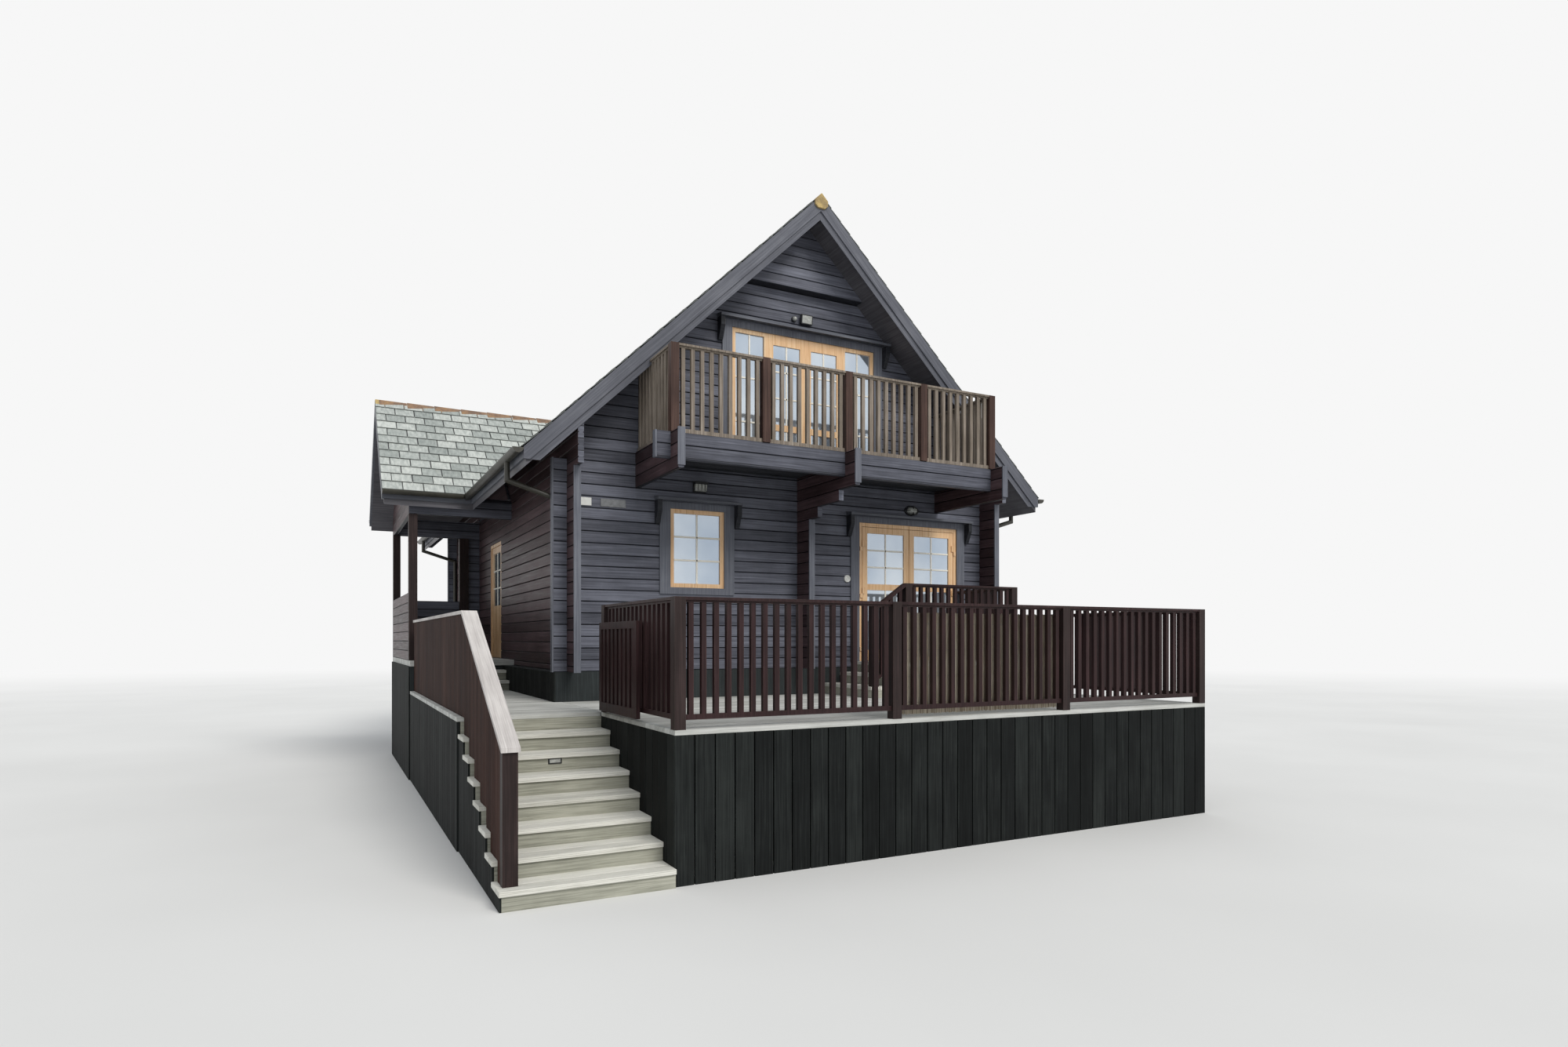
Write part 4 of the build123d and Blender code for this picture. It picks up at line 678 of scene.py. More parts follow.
print("finishes on", sum(len(names.split()) for names in FINISH.values()), "nodes")

# %% [markdown]
# ## Roof slates
# The roofs are covered with grey-green slates in level courses, each course half a slate to the
# side of the one below it. A slate is a thin six-sided piece that lies on the slope and whose
# tail is lifted by the course under it. It is worked out in the slope's own frame, along the
# eaves, up the slope and out from it. Where two slopes meet in a valley, the edge of every slate
# is cut to the valley line, at its tail and at its head apart, which gives the true raking cut.

# %% Slate finish
slate, tree = surface("riven_slate", IOR=1.55)
place = add(tree, "UVMap", uv_map="grain")
drawn_out = add(tree, "Mapping", {"Vector": place, "Scale": (1.6, 0.6, 1.0)})
riven = noise(tree, drawn_out, 14.0, 6.0, 0.62)
tone = remap(tree, calc(tree, "MULTIPLY_ADD", board_value(tree), 0.45, riven), 0.3, 1.1)
colour = three_tones(tree, tone, "#7c8380 #a1a7a3 #c6cac5")
lichen = remap(tree, noise(tree, place, 5.0, 8.0, 0.7), 0.62, 0.74, 0.0, 0.4)
colour = blend(tree, lichen, colour, linear("#8d8a55"))
# Painted shade at a slate's two sides and under its tail, where the gaps and the course below lie in
# shadow: the second map gives the edges
edge_place = parts(tree, add(tree, "UVMap", uv_map="share"))
shade_at_sides = remap(tree, off_middle(tree, edge_place[0]), 0.475, 0.492, 0.0, 0.8)
shade_at_tail = remap(tree, edge_place[1], 0.075, 0.02, 0.0, 0.8)
colour = blend(tree, calc(tree, "MAXIMUM", shade_at_sides, shade_at_tail), colour, linear("#2e3230"))
paint(tree, colour, remap(tree, riven, 0.0, 1.0, 0.5, 0.75), riven, 0.6, 2 * MM)

# %% Slate builder
SLATE_W, SLATE_SHOWS, SLATE_T = 290 * MM, 212 * MM, 8 * MM
SLATE_GAP, HEAD_LAP, TAIL_LIFT, BED = 8 * MM, 40 * MM, 13 * MM, 2 * MM
# Slates shift and differ in thickness by these millimetres, and a cut one this thin is left out
SHIFT, UNEVEN = (-2, 2), (0, 2)
SLIVER = 12 * MM


def slates(length, height, cut_low=None, cut_high=None):
    """Slate corners (along, up, out) on a slope; the cuts give where it starts and stops at a height."""
    courses = math.ceil(height / SLATE_SHOWS)
    shows = height / courses
    across = math.ceil(length / SLATE_W) + 1
    row, place = np.meshgrid(np.arange(courses), np.arange(across), indexing="ij")
    row, place = row.ravel(), place.ravel()
    left = (place - 0.5 * (row % 2)) * SLATE_W + rng.uniform(*SHIFT, row.size) * MM
    low = spread(left, row * shows, 0.0)
    high = low + np.array([SLATE_W - SLATE_GAP, shows + HEAD_LAP, SLATE_T])
    high[:, 1] = np.minimum(high[:, 1], height)
    corner = corners(low, high)
    thicker = (rng.uniform(*UNEVEN, row.size) * MM)[:, None]
    corner[:, :, 2] += TAIL_LIFT * (1 - PICK[None, :, 1]) + thicker + BED
    up = corner[:, :, 1]
    start = np.maximum(cut_low(up), 0) if cut_low else 0
    stop = np.minimum(cut_high(up), length) if cut_high else length
    corner[:, :, 0] = np.clip(corner[:, :, 0], start, np.maximum(stop, start))
    width = corner[:, 4:, 0].mean(axis=1) - corner[:, :4, 0].mean(axis=1)
    return corner[width > SLIVER]


def lay_slates(name, corner, origin, along, up):
    """Slates on a slope that starts at origin and runs along its eaves and up its fall."""
    along, up = np.array(along, float), np.array(up, float)
    slope = (np.array(origin, float), np.stack([along, up, np.cross(along, up)]))
    pieces(name, corner, slate, bevel=0, at=slope)


# %% Slates on the right slope
up_x, up_z = math.cos(PITCH), math.sin(PITCH)
verge, over = 30 * MM, 45 * MM
over_x = over * up_x
low_z = eave_z - over * up_z
main_l = roof_y1 - roof_y0 + 2 * verge
slope_h = (ridge_x - eave_l) / up_x + over
right_origin = (2 * ridge_x - eave_l + over_x, roof_y0 - verge, low_z)
lay_slates("slates_right", slates(main_l, slope_h), right_origin, (0, 1, 0), (-up_x, 0, up_z))

# %% [markdown]
# ### The left slope, with the porch roof growing out of it
# The porch roof meets the main slope along two valleys. Seen from above each valley runs at 45
# degrees, so at a distance up the slope the cut moves in by the same level distance. The slope
# is laid in two parts: behind the porch, with all that lies above its ridge, and before it.

# %% Slates on the left slope
half_wing = wing_ridge_y - wing_y0
wing_y1 = wing_ridge_y + half_wing
porch_middle = main_l - (wing_ridge_y - roof_y0 + verge)


def reach_in(up):
    """Level distance in from the eave, for a distance up the slope."""
    return np.maximum((up - over) * up_x, 0)


def valley(side):
    """The cut of the valley behind (-1) or before (1) the porch; above its ridge, the slope's end."""
    def cut(up):
        reach = reach_in(up)
        return np.where(reach < half_wing, porch_middle + side * (half_wing - reach), main_l)
    return cut


back_part = slates(main_l, slope_h, cut_high=valley(-1))
front_part = slates(main_l, slope_h, cut_low=valley(1))
front_part = front_part[front_part[:, :, 0].min(axis=1) < main_l - SLIVER]
left_part = np.concatenate([back_part, front_part])
left_origin = (eave_l - over_x, roof_y1 + verge, low_z)
lay_slates("slates_left", left_part, left_origin, (0, -1, 0), (up_x, 0, up_z))

# %% Slates on the porch roof
wing_h = half_wing / up_x + over
wing_out = eave_l - wing_x0 + verge
wing_l = wing_out + half_wing
front_slates = slates(wing_l, wing_h, cut_high=lambda up: wing_out + reach_in(up))
front_origin = (wing_x0 - verge, wing_y0 - over_x, low_z)
lay_slates("slates_porch_front", front_slates, front_origin, (1, 0, 0), (0, up_x, up_z))
back_slates = slates(wing_l, wing_h, cut_low=lambda up: half_wing - reach_in(up))
back_origin = (eave_l + half_wing, wing_y1 + over_x, low_z)
lay_slates("slates_porch_back", back_slates, back_origin, (-1, 0, 0), (0, -up_x, up_z))

# %% [markdown]
# ## Ridge tiles
# Angled tiles ride along both ridges. Each is about 450 mm long and laps the next by a thin
# step, and each ridge ends in a seven-sided block that lichen has turned yellow. A tile is a
# left wing and a right wing, each a six-sided piece; the lap is a slight taper in them.

# %% Ridge finish and tiles
ridge_clay, tree = surface("lichened_ridge_tile", IOR=1.5)
spots = noise(tree, own(tree), 9.0, 8.0, 0.68)
colour = ramp(tree, spots, [(0.3, "#574a41"), (0.45, "#7a6250"), (0.58, "#937458"), (0.72, "#ad8c50")])
paint(tree, colour, remap(tree, spots, 0.0, 1.0, 0.65, 0.9), spots, 0.6, 2 * MM)
TILE_L, TILE_WING, TILE_T, LAP_GAP = 450 * MM, 185 * MM, 20 * MM, 4 * MM
BLOCK_T, OFF_RIDGE, LAP_TAPER = 60 * MM, 0.5 * MM, 0.3
MIRRORED = [2, 3, 0, 1, 6, 7, 4, 5]


def ridge_row(start, stop, across, peak, run):
    """Corners of a row of angled tiles along x or y, from start to stop, with its peak height."""
    found = []
    for side in (-1, 1):
        # The second axis runs down the wing; the tile's far end is a little thinner, for the lap
        box = boards((start, 0, 0), (stop, TILE_WING, TILE_T / up_x), 0, TILE_L, LAP_GAP)
        down = box[:, :, 1]
        lap = 1 - LAP_TAPER * PICK[None, :, 0]
        place = spread(box[:, :, 0], across + side * down * up_x, peak - down * up_z + box[:, :, 2] * lap)
        if (side < 0) == (run == "x"):
            place = place[:, MIRRORED]
        found.append(place if run == "x" else place[:, :, [1, 0, 2]])
    return np.concatenate(found)


trim = verge - BLOCK_T
caps = [
    ridge_row(roof_y0 - trim, roof_y1 + trim, ridge_x, ridge_z + OFF_RIDGE, "y"),
    ridge_row(wing_x0 - trim, wing_x1, wing_ridge_y, wing_ridge_z + OFF_RIDGE, "x"),
]
pieces("ridge_tile_rows", np.concatenate(caps), ridge_clay, stands_for=["ridge_tiles"])

# %% End blocks
end_clay = mottled("lichened_end_block", "#8f7b55", "#c8ae72", 60, 0.8, 1.0, IOR=1.5)
BLOCK_HALF, BLOCK_TOP, BLOCK_CHEEK, BLOCK_FOOT = 100 * MM, 29 * MM, 135 * MM, 177 * MM
FOOT_SHARE, STANDS_OUT, SET_IN = 0.55, 25 * MM, 2 * MM


def end_block(name, centre, run):
    """A prism: the ridge's angle with its lower corners cut, set square to a ridge along x or y."""
    shoulder = BLOCK_TOP - BLOCK_HALF * math.tan(PITCH)
    foot = (BLOCK_HALF * FOOT_SHARE, -BLOCK_FOOT)
    right = np.array([(BLOCK_HALF, shoulder), (BLOCK_HALF, -BLOCK_CHEEK), foot])
    outline = np.concatenate([[[0, BLOCK_TOP]], right, right[::-1] * (-1, 1)])
    depth = np.array([[0], [BLOCK_T]])
    width, level = outline.T
    place = spread(width, depth, level) if run == "y" else spread(depth, width, level)
    count = len(outline)
    ring = [[i, (i + 1) % count, count + (i + 1) % count, count + i] for i in range(count)]
    ends = [list(range(count))[::-1], list(range(count, 2 * count))]
    mesh = bpy.data.meshes.new(name)
    mesh.from_pydata((place.reshape(-1, 3) + np.array(centre)).tolist(), [], ring + ends)
    if run == "x":
        mesh.flip_normals()
    made = show(name, mesh, end_clay)
    edge = made.modifiers.new("eased edges", "BEVEL")
    edge.width, edge.segments = 6 * MM, 2
    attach(made, "root")


end_block("ridge_end_front", (ridge_x, roof_y0 - verge - STANDS_OUT, ridge_z), "y")
end_block("ridge_end_back", (ridge_x, roof_y1 + verge - BLOCK_T - SET_IN, ridge_z), "y")
end_block("ridge_end_porch", (wing_x0 - verge + SET_IN, wing_ridge_y, wing_ridge_z), "x")

# %% [markdown]
# ## Lead in the valleys
# A sheet of lead lies under the cut slates along each valley. It is a strip with a fold down its
# middle: both of its wings lie on the two slopes, a few millimetres above the boards.

# %% Valleys
LEAD_WING, LEAD_T, RAISED = 0.16, 2 * MM, (0, 0, 3 * MM)
line = np.linspace(0, half_wing, 12)
for name, y_end, sign in (("front", wing_y0, 1), ("back", wing_y1, -1)):
    fold = spread(eave_l + line, y_end + sign * line, eave_z + line * math.tan(PITCH))
    on_main = fold - (0, sign * LEAD_WING, 0)
    on_wing = fold - (LEAD_WING, 0, 0)
    strip = np.stack([on_main, fold, on_wing], axis=1) + RAISED
    mesh = grid_mesh("valley_lead_" + name, strip if sign > 0 else strip[:, ::-1])
    made = show("valley_lead_" + name, mesh, lead)
    thick = made.modifiers.new("sheet", "SOLIDIFY")
    thick.thickness, thick.offset = LEAD_T, -1
    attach(made, "root")

# %% [markdown]
# ## Glazing bars
# Each pane is split into small lights by cream bars that stand a little proud of the glass on
# both sides. A pane is one solid of a glass node, so its box says which way it faces, and its
# width and height say how many lights it has: two across and three up in the windows and in the
# upper part of each door leaf, one upright bar in the low lights under a door's middle rail.

# %% Bars on every pane
BAR_W, BAR_PROUD = 24 * MM, 9 * MM
UNDER_RAIL, WIDE_PANE, TALL_PANE = floor_z + 0.5, 0.3, 0.6


def lights_for(pane):
    """How many lights a pane has across and up, from its size and its height over the floor."""
    size = pane[1] - pane[0]
    tall = size[2] > TALL_PANE and pane[0][2] >= UNDER_RAIL
    return (2 if max(size[:2]) > WIDE_PANE else 1), (3 if tall else 1)


def bars_on(pane):
    """The boxes of one pane's bars, upright ones first."""
    low, high = pane
    flat = int(np.argmin(high - low))
    found = []
    for axis, lights in zip((1 - flat, 2), lights_for(pane)):
        for n in range(1, lights):
            middle = low[axis] + (high[axis] - low[axis]) * n / lights
            a, b = low.copy(), high.copy()
            a[axis], b[axis] = middle - BAR_W / 2, middle + BAR_W / 2
            a[flat] -= BAR_PROUD
            b[flat] += BAR_PROUD
            found.append((a, b))
    return found


PANES = {
    "window_glass": "root",
    "glazed_door_left_glass": "left_door_leaf",
    "glazed_door_right_glass": "right_door_leaf",
    "entrance_door_glass": "entrance_leaf",
}
for node, body in PANES.items():
    low, high = zip(*(bar for pane in solids_of(node) for bar in bars_on(pane)))
    name = node.replace("glass", "bars")
    pieces(name, corners(low, high), bar_paint, body=body, grain=2, bevel=3)

# %% [markdown]
# ## Deck, porch floor and balcony boards
# The decks are softwood boards about 120 mm wide, laid level along the front with gaps for the
# rain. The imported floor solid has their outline; here each board is its own piece. The deck's
# outer boards show their pale edges above the dark skirt, which is the light line in the
# photograph.

# %% Boards on the floors
GAP, PLANK, PORCH_T, BALCONY_T = 6 * MM, 126 * MM, 85 * MM, 60 * MM
(_, deck_y0, _), (deck_r, _, _) = extent("deck_skirt")
base_low, base_high = extent("porch_base")
landing_l = base_low[0]
# These lines are the drawing's, measured from the datum
deck_l = house_x - 54 * MM
landing_r = house_x - 145 * MM
stair_y = house_y - 1669 * MM
wall_y = house_y - 22 * MM
porch_y = house_y + 3290 * MM
upstairs = floor_z + 1


def lay(x0, x1, y0, y1, top, thick=BOARD, axis=1, pitch=PLANK):
    """Boards over a rectangle, side by side along axis, with their tops at one height."""
    return boards((x0, y0, top - thick), (x1, y1, top), axis, pitch, GAP)


deck = [
    lay(deck_l, deck_r, deck_y0, wall_y, deck_z),
    lay(landing_l, deck_l - GAP, stair_y, wall_y, deck_z),
    lay(landing_l, landing_r, wall_y + GAP, base_low[1], deck_z),
]
pieces(
    "deck_planks", np.concatenate(deck), silver_boards, bevel=3,
    stands_for=["deck_boards"])
porch = lay(landing_l, house_x, porch_y, base_high[1], floor_z, PORCH_T)
pieces("porch_planks", porch, silver_boards, bevel=3)
bays = [solid for solid in solids_of("deck_boards") if solid[1][2] > upstairs]
balcony = [lay(a[0], b[0], a[1], b[1], b[2], BALCONY_T) for a, b in bays]
pieces("balcony_planks", np.concatenate(balcony), balcony_boards, bevel=3)

# %% [markdown]
# ## Stair treads
# Each tread is two boards side by side with anti-slip grooves along them. The grooves are drawn
# by the finish, because a groove is only a few millimetres wide.

# %% Treads
treads = [boards(low, high, 1, (high[1] - low[1]) / 2, GAP) for low, high in solids_of("stair_treads")]
pieces(
    "tread_boards", np.concatenate(treads), silver_treads, bevel=4,
    stands_for=["stair_treads"])

# %% [markdown]
# ## Short steps up to the porch and the raised landing
# Two steps lead up to the porch floor and two to the landing at the glazed doors. Each has two
# pale tread boards over a darker riser, and level boards close the landing's front and sides.
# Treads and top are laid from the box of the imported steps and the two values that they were
# drawn with.

# %% Porch steps
NOSING, RISER_T, STEP, DAIS_GOING = 25 * MM, 25 * MM, 150 * MM, 280 * MM
CLAD_T, CLAD_W, CLAD_GAP, STEP_BOARD = 28 * MM, 135 * MM, 3 * MM, 140 * MM
treads, risers = [], []
for low, high in solids_of("porch_steps"):
    treads.append(lay(low[0], high[0], low[1], high[1], high[2]))
    riser_y = low[1] + NOSING
    risers.append(corners((low[0], riser_y, low[2]), (high[0], riser_y + RISER_T, high[2] - BOARD)))

# %% Raised landing and its steps
dais_low, dais_high = extent("raised_landing")
dais_y, dais_r = dais_low[1], dais_high[0]
head_x = dais_low[0] + 2 * DAIS_GOING
treads.append(lay(head_x, dais_r, dais_y, wall_y, floor_z))
cladding = [(head_x, dais_r, dais_y, dais_y + CLAD_T)]
cladding += [(x, x + CLAD_T, dais_y + CLAD_T, wall_y) for x in (head_x, dais_r - CLAD_T)]
for x0, x1, y0, y1 in cladding:
    risers.append(boards((x0, y0, deck_z), (x1, y1, floor_z - BOARD), 2, CLAD_W, CLAD_GAP))
for n in (1, 2):
    top = floor_z - n * STEP
    x1 = head_x - (n - 1) * DAIS_GOING
    x0 = x1 - DAIS_GOING
    treads.append(lay(x0, x1, dais_y, wall_y, top, axis=0, pitch=STEP_BOARD))
    front_x, back_x = x0 + NOSING, x0 + NOSING + RISER_T
    risers.append(corners((front_x, dais_y, deck_z), (back_x, wall_y, top - BOARD)))
    risers.append(corners((back_x, dais_y, deck_z), (x1, dais_y + CLAD_T, top - BOARD)))
pieces(
    "step_treads", np.concatenate(treads), silver_treads, bevel=3,
    stands_for=["porch_steps", "raised_landing"])
pieces("step_risers", np.concatenate(risers), riser_boards, bevel=2)

# %% [markdown]
# ## Boarded skirt, plinth and porch base
# Upright boards with dark gaps close the space under the deck and the house. They are laid over
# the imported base, and their feet run to the ground.

# %% Skirt of the deck
SKIRT_T, SKIRT = 28 * MM, (186 * MM, 13 * MM)
skirt_top = deck_z - BOARD
inner_y = deck_y0 + SKIRT_T
skirts = [
    boards((deck_l, deck_y0, 0), (deck_r, inner_y, skirt_top), 0, *SKIRT),
    boards((deck_l, inner_y, 0), (deck_l + SKIRT_T, stair_y, skirt_top), 1, *SKIRT),
    boards((deck_r - SKIRT_T, inner_y, 0), (deck_r, wall_y, skirt_top), 1, *SKIRT),
    boards((landing_l, stair_y, 0), (landing_l + SKIRT_T, base_low[1], skirt_top), 1, *SKIRT),
]
pieces(
    "skirt_boards", np.concatenate(skirts), skirt_stain, grain=2, bevel=3,
    stands_for=["deck_skirt"])

# %% Plinth and porch base
PLINTH_T, PLINTH = 18 * MM, (142 * MM, 5 * MM)
(left, front, _), (right, back, _) = extent("plinth")
left_out, base_out = left - PLINTH_T, landing_l - PLINTH_T
plinth = [
    boards((left, back, 0), (right, back + PLINTH_T, base_z), 0, *PLINTH),
    boards((right, front, 0), (right + PLINTH_T, back, base_z), 1, *PLINTH),
    boards((left_out, base_high[1], 0), (left, back, base_z), 1, *PLINTH),
    boards((left_out, front, deck_z), (left, base_low[1], base_z), 1, *PLINTH),
]
pieces("plinth_boards", np.concatenate(plinth), skirt_stain, grain=2, bevel=3)
porch = [
    boards((base_out, base_low[1], 0), (landing_l, base_high[1], base_z), 1, *PLINTH),
    boards((landing_l, base_high[1], 0), (base_high[0], base_high[1] + PLINTH_T, base_z), 0, *PLINTH),
]
pieces("porch_base_boards", np.concatenate(porch), skirt_stain, grain=2, bevel=3)

# %% [markdown]
# ## Boarded guards
# The guard beside the stairs is closed with upright boards on both of its faces. The lower ends
# stand on the treads and the upper ends follow the rake under the cap, so each board is taken
# as a box and its top corners are then set to the rake's height at their own distance along.

# %% Guard boards
RISE, GOING = 165 * MM, 313 * MM
GUARD_T, GUARD, JUST_IN = 20 * MM, (104 * MM, 3 * MM), 1 * MM
guard_low, guard_high = extent("stair_guard_boards")
landing_low, landing_high = extent("landing_guard_boards")
under_cap = landing_high[2]
steps = solids_of("stair_treads")
steps = steps[np.argsort(-steps[:, 1, 2])]


def rake_top(y):
    """Height of the cap's underside: level over the landing, and falling with the stairs."""
    return under_cap - np.maximum(stair_y - y, 0) * RISE / GOING


def tread_under(y):
    """Height of the walking surface at a distance y: each tread counts from its front edge."""
    level = np.full(np.shape(y), deck_z)
    for low, high in steps:
        level = np.where(y < low[1] + GOING, np.minimum(level, high[2]), level)
    return level


a, b = rows(guard_low[1], stair_y, *GUARD)
foot = np.maximum(tread_under(a + JUST_IN), tread_under(b - JUST_IN))
skins = []
for x0, x1 in ((guard_low[0], guard_low[0] + GUARD_T), (guard_high[0] - GUARD_T, guard_high[0])):
    board = corners(spread(x0, a, foot), spread(x1, b, foot))
    board[:, :, 2] = np.where(PICK[:, 2] == 1, rake_top(board[:, :, 1]), board[:, :, 2])
    skins.append(board)
    skins.append(boards((x0, landing_low[1], deck_z), (x1, landing_high[1], under_cap), 1, *GUARD))
pieces(
    "guard_boards", np.concatenate(skins), rail_boards, grain=2, bevel=3,
    stands_for=["stair_guard_boards", "landing_guard_boards"])

# %% [markdown]
# ## Boards that close the side of the stairs
# The open side of the stairs is closed by the same dark boards as the deck. Three of them fit
# the going of one step, so their heads follow the treads in a zigzag: each board ends under
# the tread over its own middle.

# %% Stair side boards
STAIR_GOINGS, SIDE_T = 7, 18 * MM
a, b = rows(stair_y - STAIR_GOINGS * GOING, stair_y, GOING / 3, 3 * MM)
face = extent("stair_strings")[0][0]
heads = tread_under((a + b) / 2) - BOARD
side = corners(spread(face - SIDE_T, a, 0.0), spread(face, b, heads))
pieces("stair_side_boards", side, skirt_stain, grain=2, bevel=2)

# %% [markdown]
# ## Reed screen
# Behind the middle bay of the deck railing hangs a screen of split reeds, wired together edge to
# edge. Each reed is a thin tube: a six-sided ring carried from foot to top, with its ends at
# slightly different heights, and all rings are one array.

# %% Reeds
REED_PITCH, REED_SIDES, REED_INSET = 8.5 * MM, 6, 5 * MM
# Ranges in millimetres: how far a reed stops short, its radius, and how far it bows
SHORT, THICK, BOW = (0, 12), (3.2, 4.4), (-1.5, 1.5)
reed_low, reed_high = extent("reed_screen")
count = int((reed_high[0] - reed_low[0]) / REED_PITCH)
middle_y = (reed_low[1] + reed_high[1]) / 2
foot = reed_low[2] + rng.uniform(*SHORT, (count, 1, 1)) * MM
head = reed_high[2] - rng.uniform(*SHORT, (count, 1, 1)) * MM
centre = np.linspace(reed_low[0] + REED_INSET, reed_high[0] - REED_INSET, count)[:, None, None]
radius = rng.uniform(*THICK, (count, 1, 1)) * MM
bow = rng.uniform(*BOW, (count, 1, 1)) * MM
# The axes are the reed, the ring at its foot, middle or top, and the corner on the ring
level = np.array([[0.0], [0.5], [1.0]])
spin = np.linspace(0, 2 * math.pi, REED_SIDES, endpoint=False)
x = centre + radius * np.cos(spin) + bow * np.sin(math.pi * level)
points = spread(x, middle_y + radius * np.sin(spin), foot + (head - foot) * level)
corner = np.arange(points[..., 0].size).reshape(count, 3, REED_SIDES)
following = np.roll(corner, -1, axis=2)
around = np.stack([corner[:, :2], following[:, :2], following[:, 1:], corner[:, 1:]], axis=-1)
ends = np.concatenate([corner[:, 0, ::-1], corner[:, 2]])
mesh = bpy.data.meshes.new("reed_screen_reeds")
mesh.from_pydata(points.reshape(-1, 3).tolist(), [], around.reshape(-1, 4).tolist() + ends.tolist())
give_tones(mesh, count, 3 * REED_SIDES)

# %% Reed finish and wires
WIRE_OUT, WIRE_T, WIRE_INSET = 5.6 * MM, 1.6 * MM, 0.12
reed_finish, tree = surface("dried_reed", IOR=1.45)
stretched = add(tree, "Mapping", {"Vector": own(tree), "Scale": (60, 60, 6)})
fibre = noise(tree, stretched, 1.0, 4.0)
tone = remap(tree, calc(tree, "MULTIPLY_ADD", board_value(tree), 0.8, fibre), 0.3, 1.4)
colour = three_tones(tree, tone, "#7a6d5e #a89b87 #c9bfad")
paint(tree, colour, remap(tree, fibre, 0.0, 1.0, 0.6, 0.85), fibre, 0.4, 0.5 * MM)
reeds = show("reed_screen_reeds", mesh, reed_finish)
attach(reeds, "root")
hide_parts("reed_screen")
wire_z = np.linspace(reed_low[2] + WIRE_INSET, reed_high[2] - WIRE_INSET, 4)
low = spread(reed_low[0], middle_y - WIRE_OUT, wire_z)
high = spread(reed_high[0], middle_y + WIRE_OUT, wire_z + WIRE_T)
pieces("reed_wires", corners(low, high), steel, bevel=0)

# %% [markdown]
# ## Lamps, vent and plates
# The fittings on the front are small but they are what a visitor sees first: a flood lamp with a
# round sensor beside it over the balcony, a bulkhead lamp over the window, an oval lamp over the
# glazed doors, a round vent, two plates beside the corner, left bare here, and a low light in a
# stair riser. The round and oval ones are lathe shapes: an outline of radius against distance
# from the wall, turned round its axis and flattened for an oval. The others are cast bodies
# with eased edges, cooling fins or a cage, and a separate lens.


# %% Shapes that fit a box
def lathe(name, box, outline, material):
    """Share of the box's half size at millimetres from the wall, turned about the axis out of it."""
    share, out = (column[:, None] for column in np.array(outline, float).T)
    turn = np.linspace(0, 2 * math.pi, 40, endpoint=False)
    middle, half = (box[0] + box[1]) / 2, (box[1] - box[0]) / 2
    x = middle[0] + half[0] * share * np.cos(turn)
    z = middle[2] + half[2] * share * np.sin(turn)
    points = spread(x, box[1][1] - out * MM, z)
    made = show(name, grid_mesh(name, points[::-1], loop_v=True), material)
    made.data.polygons.foreach_set("use_smooth", np.ones(len(made.data.polygons), dtype=bool))
    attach(made, "root")


def block_in(box, low_share, high_share):
    """A box given by shares of another box's three sides."""
    low, high = box
    span = high - low
    return corners(low + span * np.array(low_share), low + span * np.array(high_share))


def fitting(name, corner, material, bevel, stands_for=()):
    """Blocks of one fitting as a moulded piece."""
    pieces(name, corner, material, bevel=bevel, stands_for=stands_for)


# %% Tell the fittings apart
THIN, NEARLY_ROUND = 15 * MM, 2 * MM
fittings = solids_of("lamps_and_plates")
size = fittings[:, 1] - fittings[:, 0]
by_height = np.argsort(fittings[:, 0, 2])
is_round = np.abs(size[:, 0] - size[:, 2]) < NEARLY_ROUND
kind = np.where(size[:, 1] < THIN, "plate", np.where(is_round, "round", "lamp"))
kind[by_height[0]] = "stair"
vent, sensor = (fittings[i] for i in by_height if kind[i] == "round")
oval, bulkhead, flood = (fittings[i] for i in by_height if kind[i] == "lamp")
if oval[1][0] < bulkhead[0][0]:
    oval, bulkhead = bulkhead, oval
print("fittings", dict(zip(*np.unique(kind, return_counts=True))))

# %% Round vent, sensor and oval lamp
vent_shape = [
    (0, 24), (0.24, 25), (0.28, 20), (0.44, 20), (0.47, 26), (0.6, 26),
    (0.64, 20), (0.78, 20), (0.8, 28), (0.94, 26), (1, 18), (1, 0),
]
dome_shape = [(0, 70), (0.35, 68), (0.62, 60), (0.78, 46), (0.82, 30), (0.82, 10)]
lens_shape = [(0, 70), (0.3, 67), (0.54, 58), (0.68, 44), (0.76, 24), (0.76, 10)]
lathe("round_vent", vent, vent_shape, plate_face)
lathe("sensor_base", sensor, [(0.8, 30), (0.9, 34), (1, 28), (1, 0)], lamp_body)
lathe("sensor_dome", sensor, dome_shape, lamp_lens)
lathe("oval_lamp_base", oval, [(0.74, 22), (0.8, 30), (0.94, 28), (1, 20), (1, 0)], lamp_body)
lathe("oval_lamp_lens", oval, lens_shape, lamp_lens)

# %% Cage of the oval lamp, and the bulkhead lamp with bars over its leaning lens
LENS_LEAN = 26 * MM
cage = [
    block_in(oval, (0.02, 0.1, 0.47), (0.98, 0.6, 0.53)),
    block_in(oval, (0.47, 0.04, 0.04), (0.53, 0.6, 0.96)),
]
fitting("oval_lamp_cage", np.concatenate(cage), lamp_body, 3)
hood = block_in(bulkhead, (0.02, 0.06, 0.72), (0.98, 0.7, 0.95))
back = block_in(bulkhead, (0, 0.68, 0), (1, 1, 1))
bars = [block_in(bulkhead, (x - 0.02, 0, 0.08), (x + 0.02, 0.1, 0.74)) for x in (0.25, 0.5, 0.75)]
body = np.concatenate([hood, back, *bars])
fitting("bulkhead_lamp_body", body, lamp_body, 5, ["lamps_and_plates"])
lens = block_in(bulkhead, (0.07, 0.06, 0.08), (0.93, 0.72, 0.74))
lens[:, :, 1] += np.where((PICK[:, 1] == 0) & (PICK[:, 2] == 0), LENS_LEAN, 0)
fitting("bulkhead_lamp_lens", lens, lamp_lens, 8)

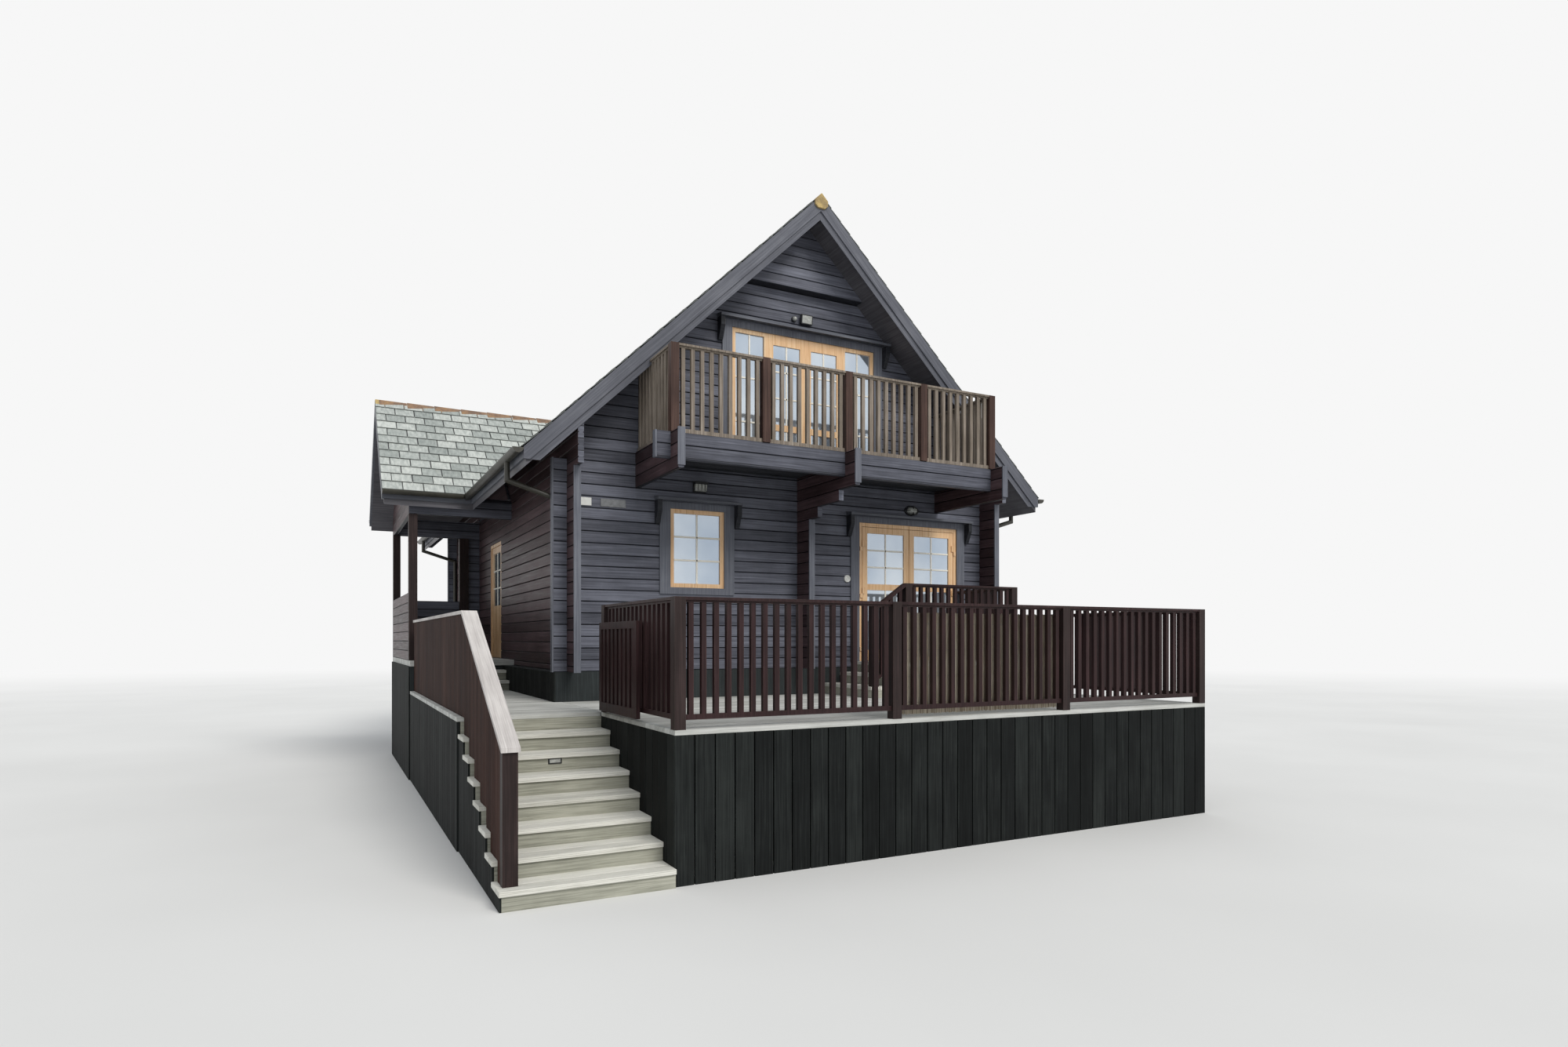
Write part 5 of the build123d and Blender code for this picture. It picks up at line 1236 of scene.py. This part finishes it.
# %% Flood lamp: a tilted head with fins behind its glass, on a bracket
HEAD_TILT, GLASS_TILT = 16 * MM, 13 * MM
head = block_in(flood, (0, 0, 0.12), (1, 0.62, 1))
head[:, :, 1] += np.where(PICK[:, 2] == 1, 0, HEAD_TILT)
arm = block_in(flood, (0.38, 0.5, 0.3), (0.62, 1, 0.62))
fins = [block_in(flood, (x, 0.6, 0.22), (x + 0.03, 0.82, 0.92)) for x in np.linspace(0.08, 0.9, 9)]
fitting("flood_lamp_head", np.concatenate([head, arm, *fins]), lamp_body, 3)
pane = block_in(flood, (0.08, 0, 0.2), (0.92, 0.1, 0.9))
pane[:, :, 1] += np.where(PICK[:, 2] == 1, 0, GLASS_TILT)
fitting("flood_lamp_glass", pane, lamp_lens, 2)

# %% Bare plates and the light in the stair riser
plates = [fittings[i] for i in by_height if kind[i] == "plate"]
number_plate, name_board = sorted(plates, key=lambda box: box[0][0])
fitting("bare_number_plate", corners(*number_plate), plate_face, 3)
fitting("bare_name_board", corners(*name_board), weathered_plate, 3)
stair_light = fittings[by_height[0]]
fitting("stair_light_body", block_in(stair_light, (0, 0.2, 0), (1, 1, 1)), lamp_body, 3)
fitting("stair_light_lens", block_in(stair_light, (0.1, 0, 0.2), (0.9, 0.3, 0.8)), lamp_lens, 2)

# %% [markdown]
# ## Gutter brackets
# Every 900 mm or so a bracket carries the gutter. It is a thin strap bent under the trough: a
# half ring round the gutter's own axis, two edges wide.

# %% Brackets
BRACKETS_EVERY, END_ROOM, STRAP_HALF, STRAP_OUT, BEND_POINTS = 0.9, 0.12, 12 * MM, 2.5 * MM, 11
bend = np.linspace(math.pi, 2 * math.pi, BEND_POINTS)
straps = []
for low, high in solids_of("gutters"):
    run = 0 if high[0] - low[0] > high[1] - low[1] else 1
    side = 1 - run
    count = max(2, round((high[run] - low[run]) / BRACKETS_EVERY))
    radius = (high[side] - low[side]) / 2 + STRAP_OUT
    across = (low[side] + high[side]) / 2 + radius * np.cos(bend)
    level = high[2] + radius * np.sin(bend)
    for at in np.linspace(low[run] + END_ROOM, high[run] - END_ROOM, count):
        edge = np.array([[at - STRAP_HALF], [at + STRAP_HALF]])
        straps.append(spread(edge, across, level) if run == 0 else spread(across, edge, level)[::-1])
# Each strap's vertices are numbered edge by edge, and the quads join one edge to the other
row = np.arange(BEND_POINTS - 1)
cell = np.stack([row, row + 1, row + 1 + BEND_POINTS, row + BEND_POINTS], axis=1)
faces = (cell + 2 * BEND_POINTS * np.arange(len(straps))[:, None, None]).reshape(-1, 4)
inside = np.clip(np.concatenate(straps).reshape(-1, 3), *cad_size)
mesh = bpy.data.meshes.new("gutter_brackets")
mesh.from_pydata(inside.tolist(), [], faces.tolist())
brackets = show("gutter_brackets", mesh, olive_metal)
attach(brackets, "root")
print("brackets", len(straps))

# %% Compare the boxes and finish
shown = [list(corner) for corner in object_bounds()]
past = [[round((a - b) / MM, 1) for a, b in zip(*pair)] for pair in zip(shown, cad_size)]
print("visual outside the CAD box by (mm)", past)
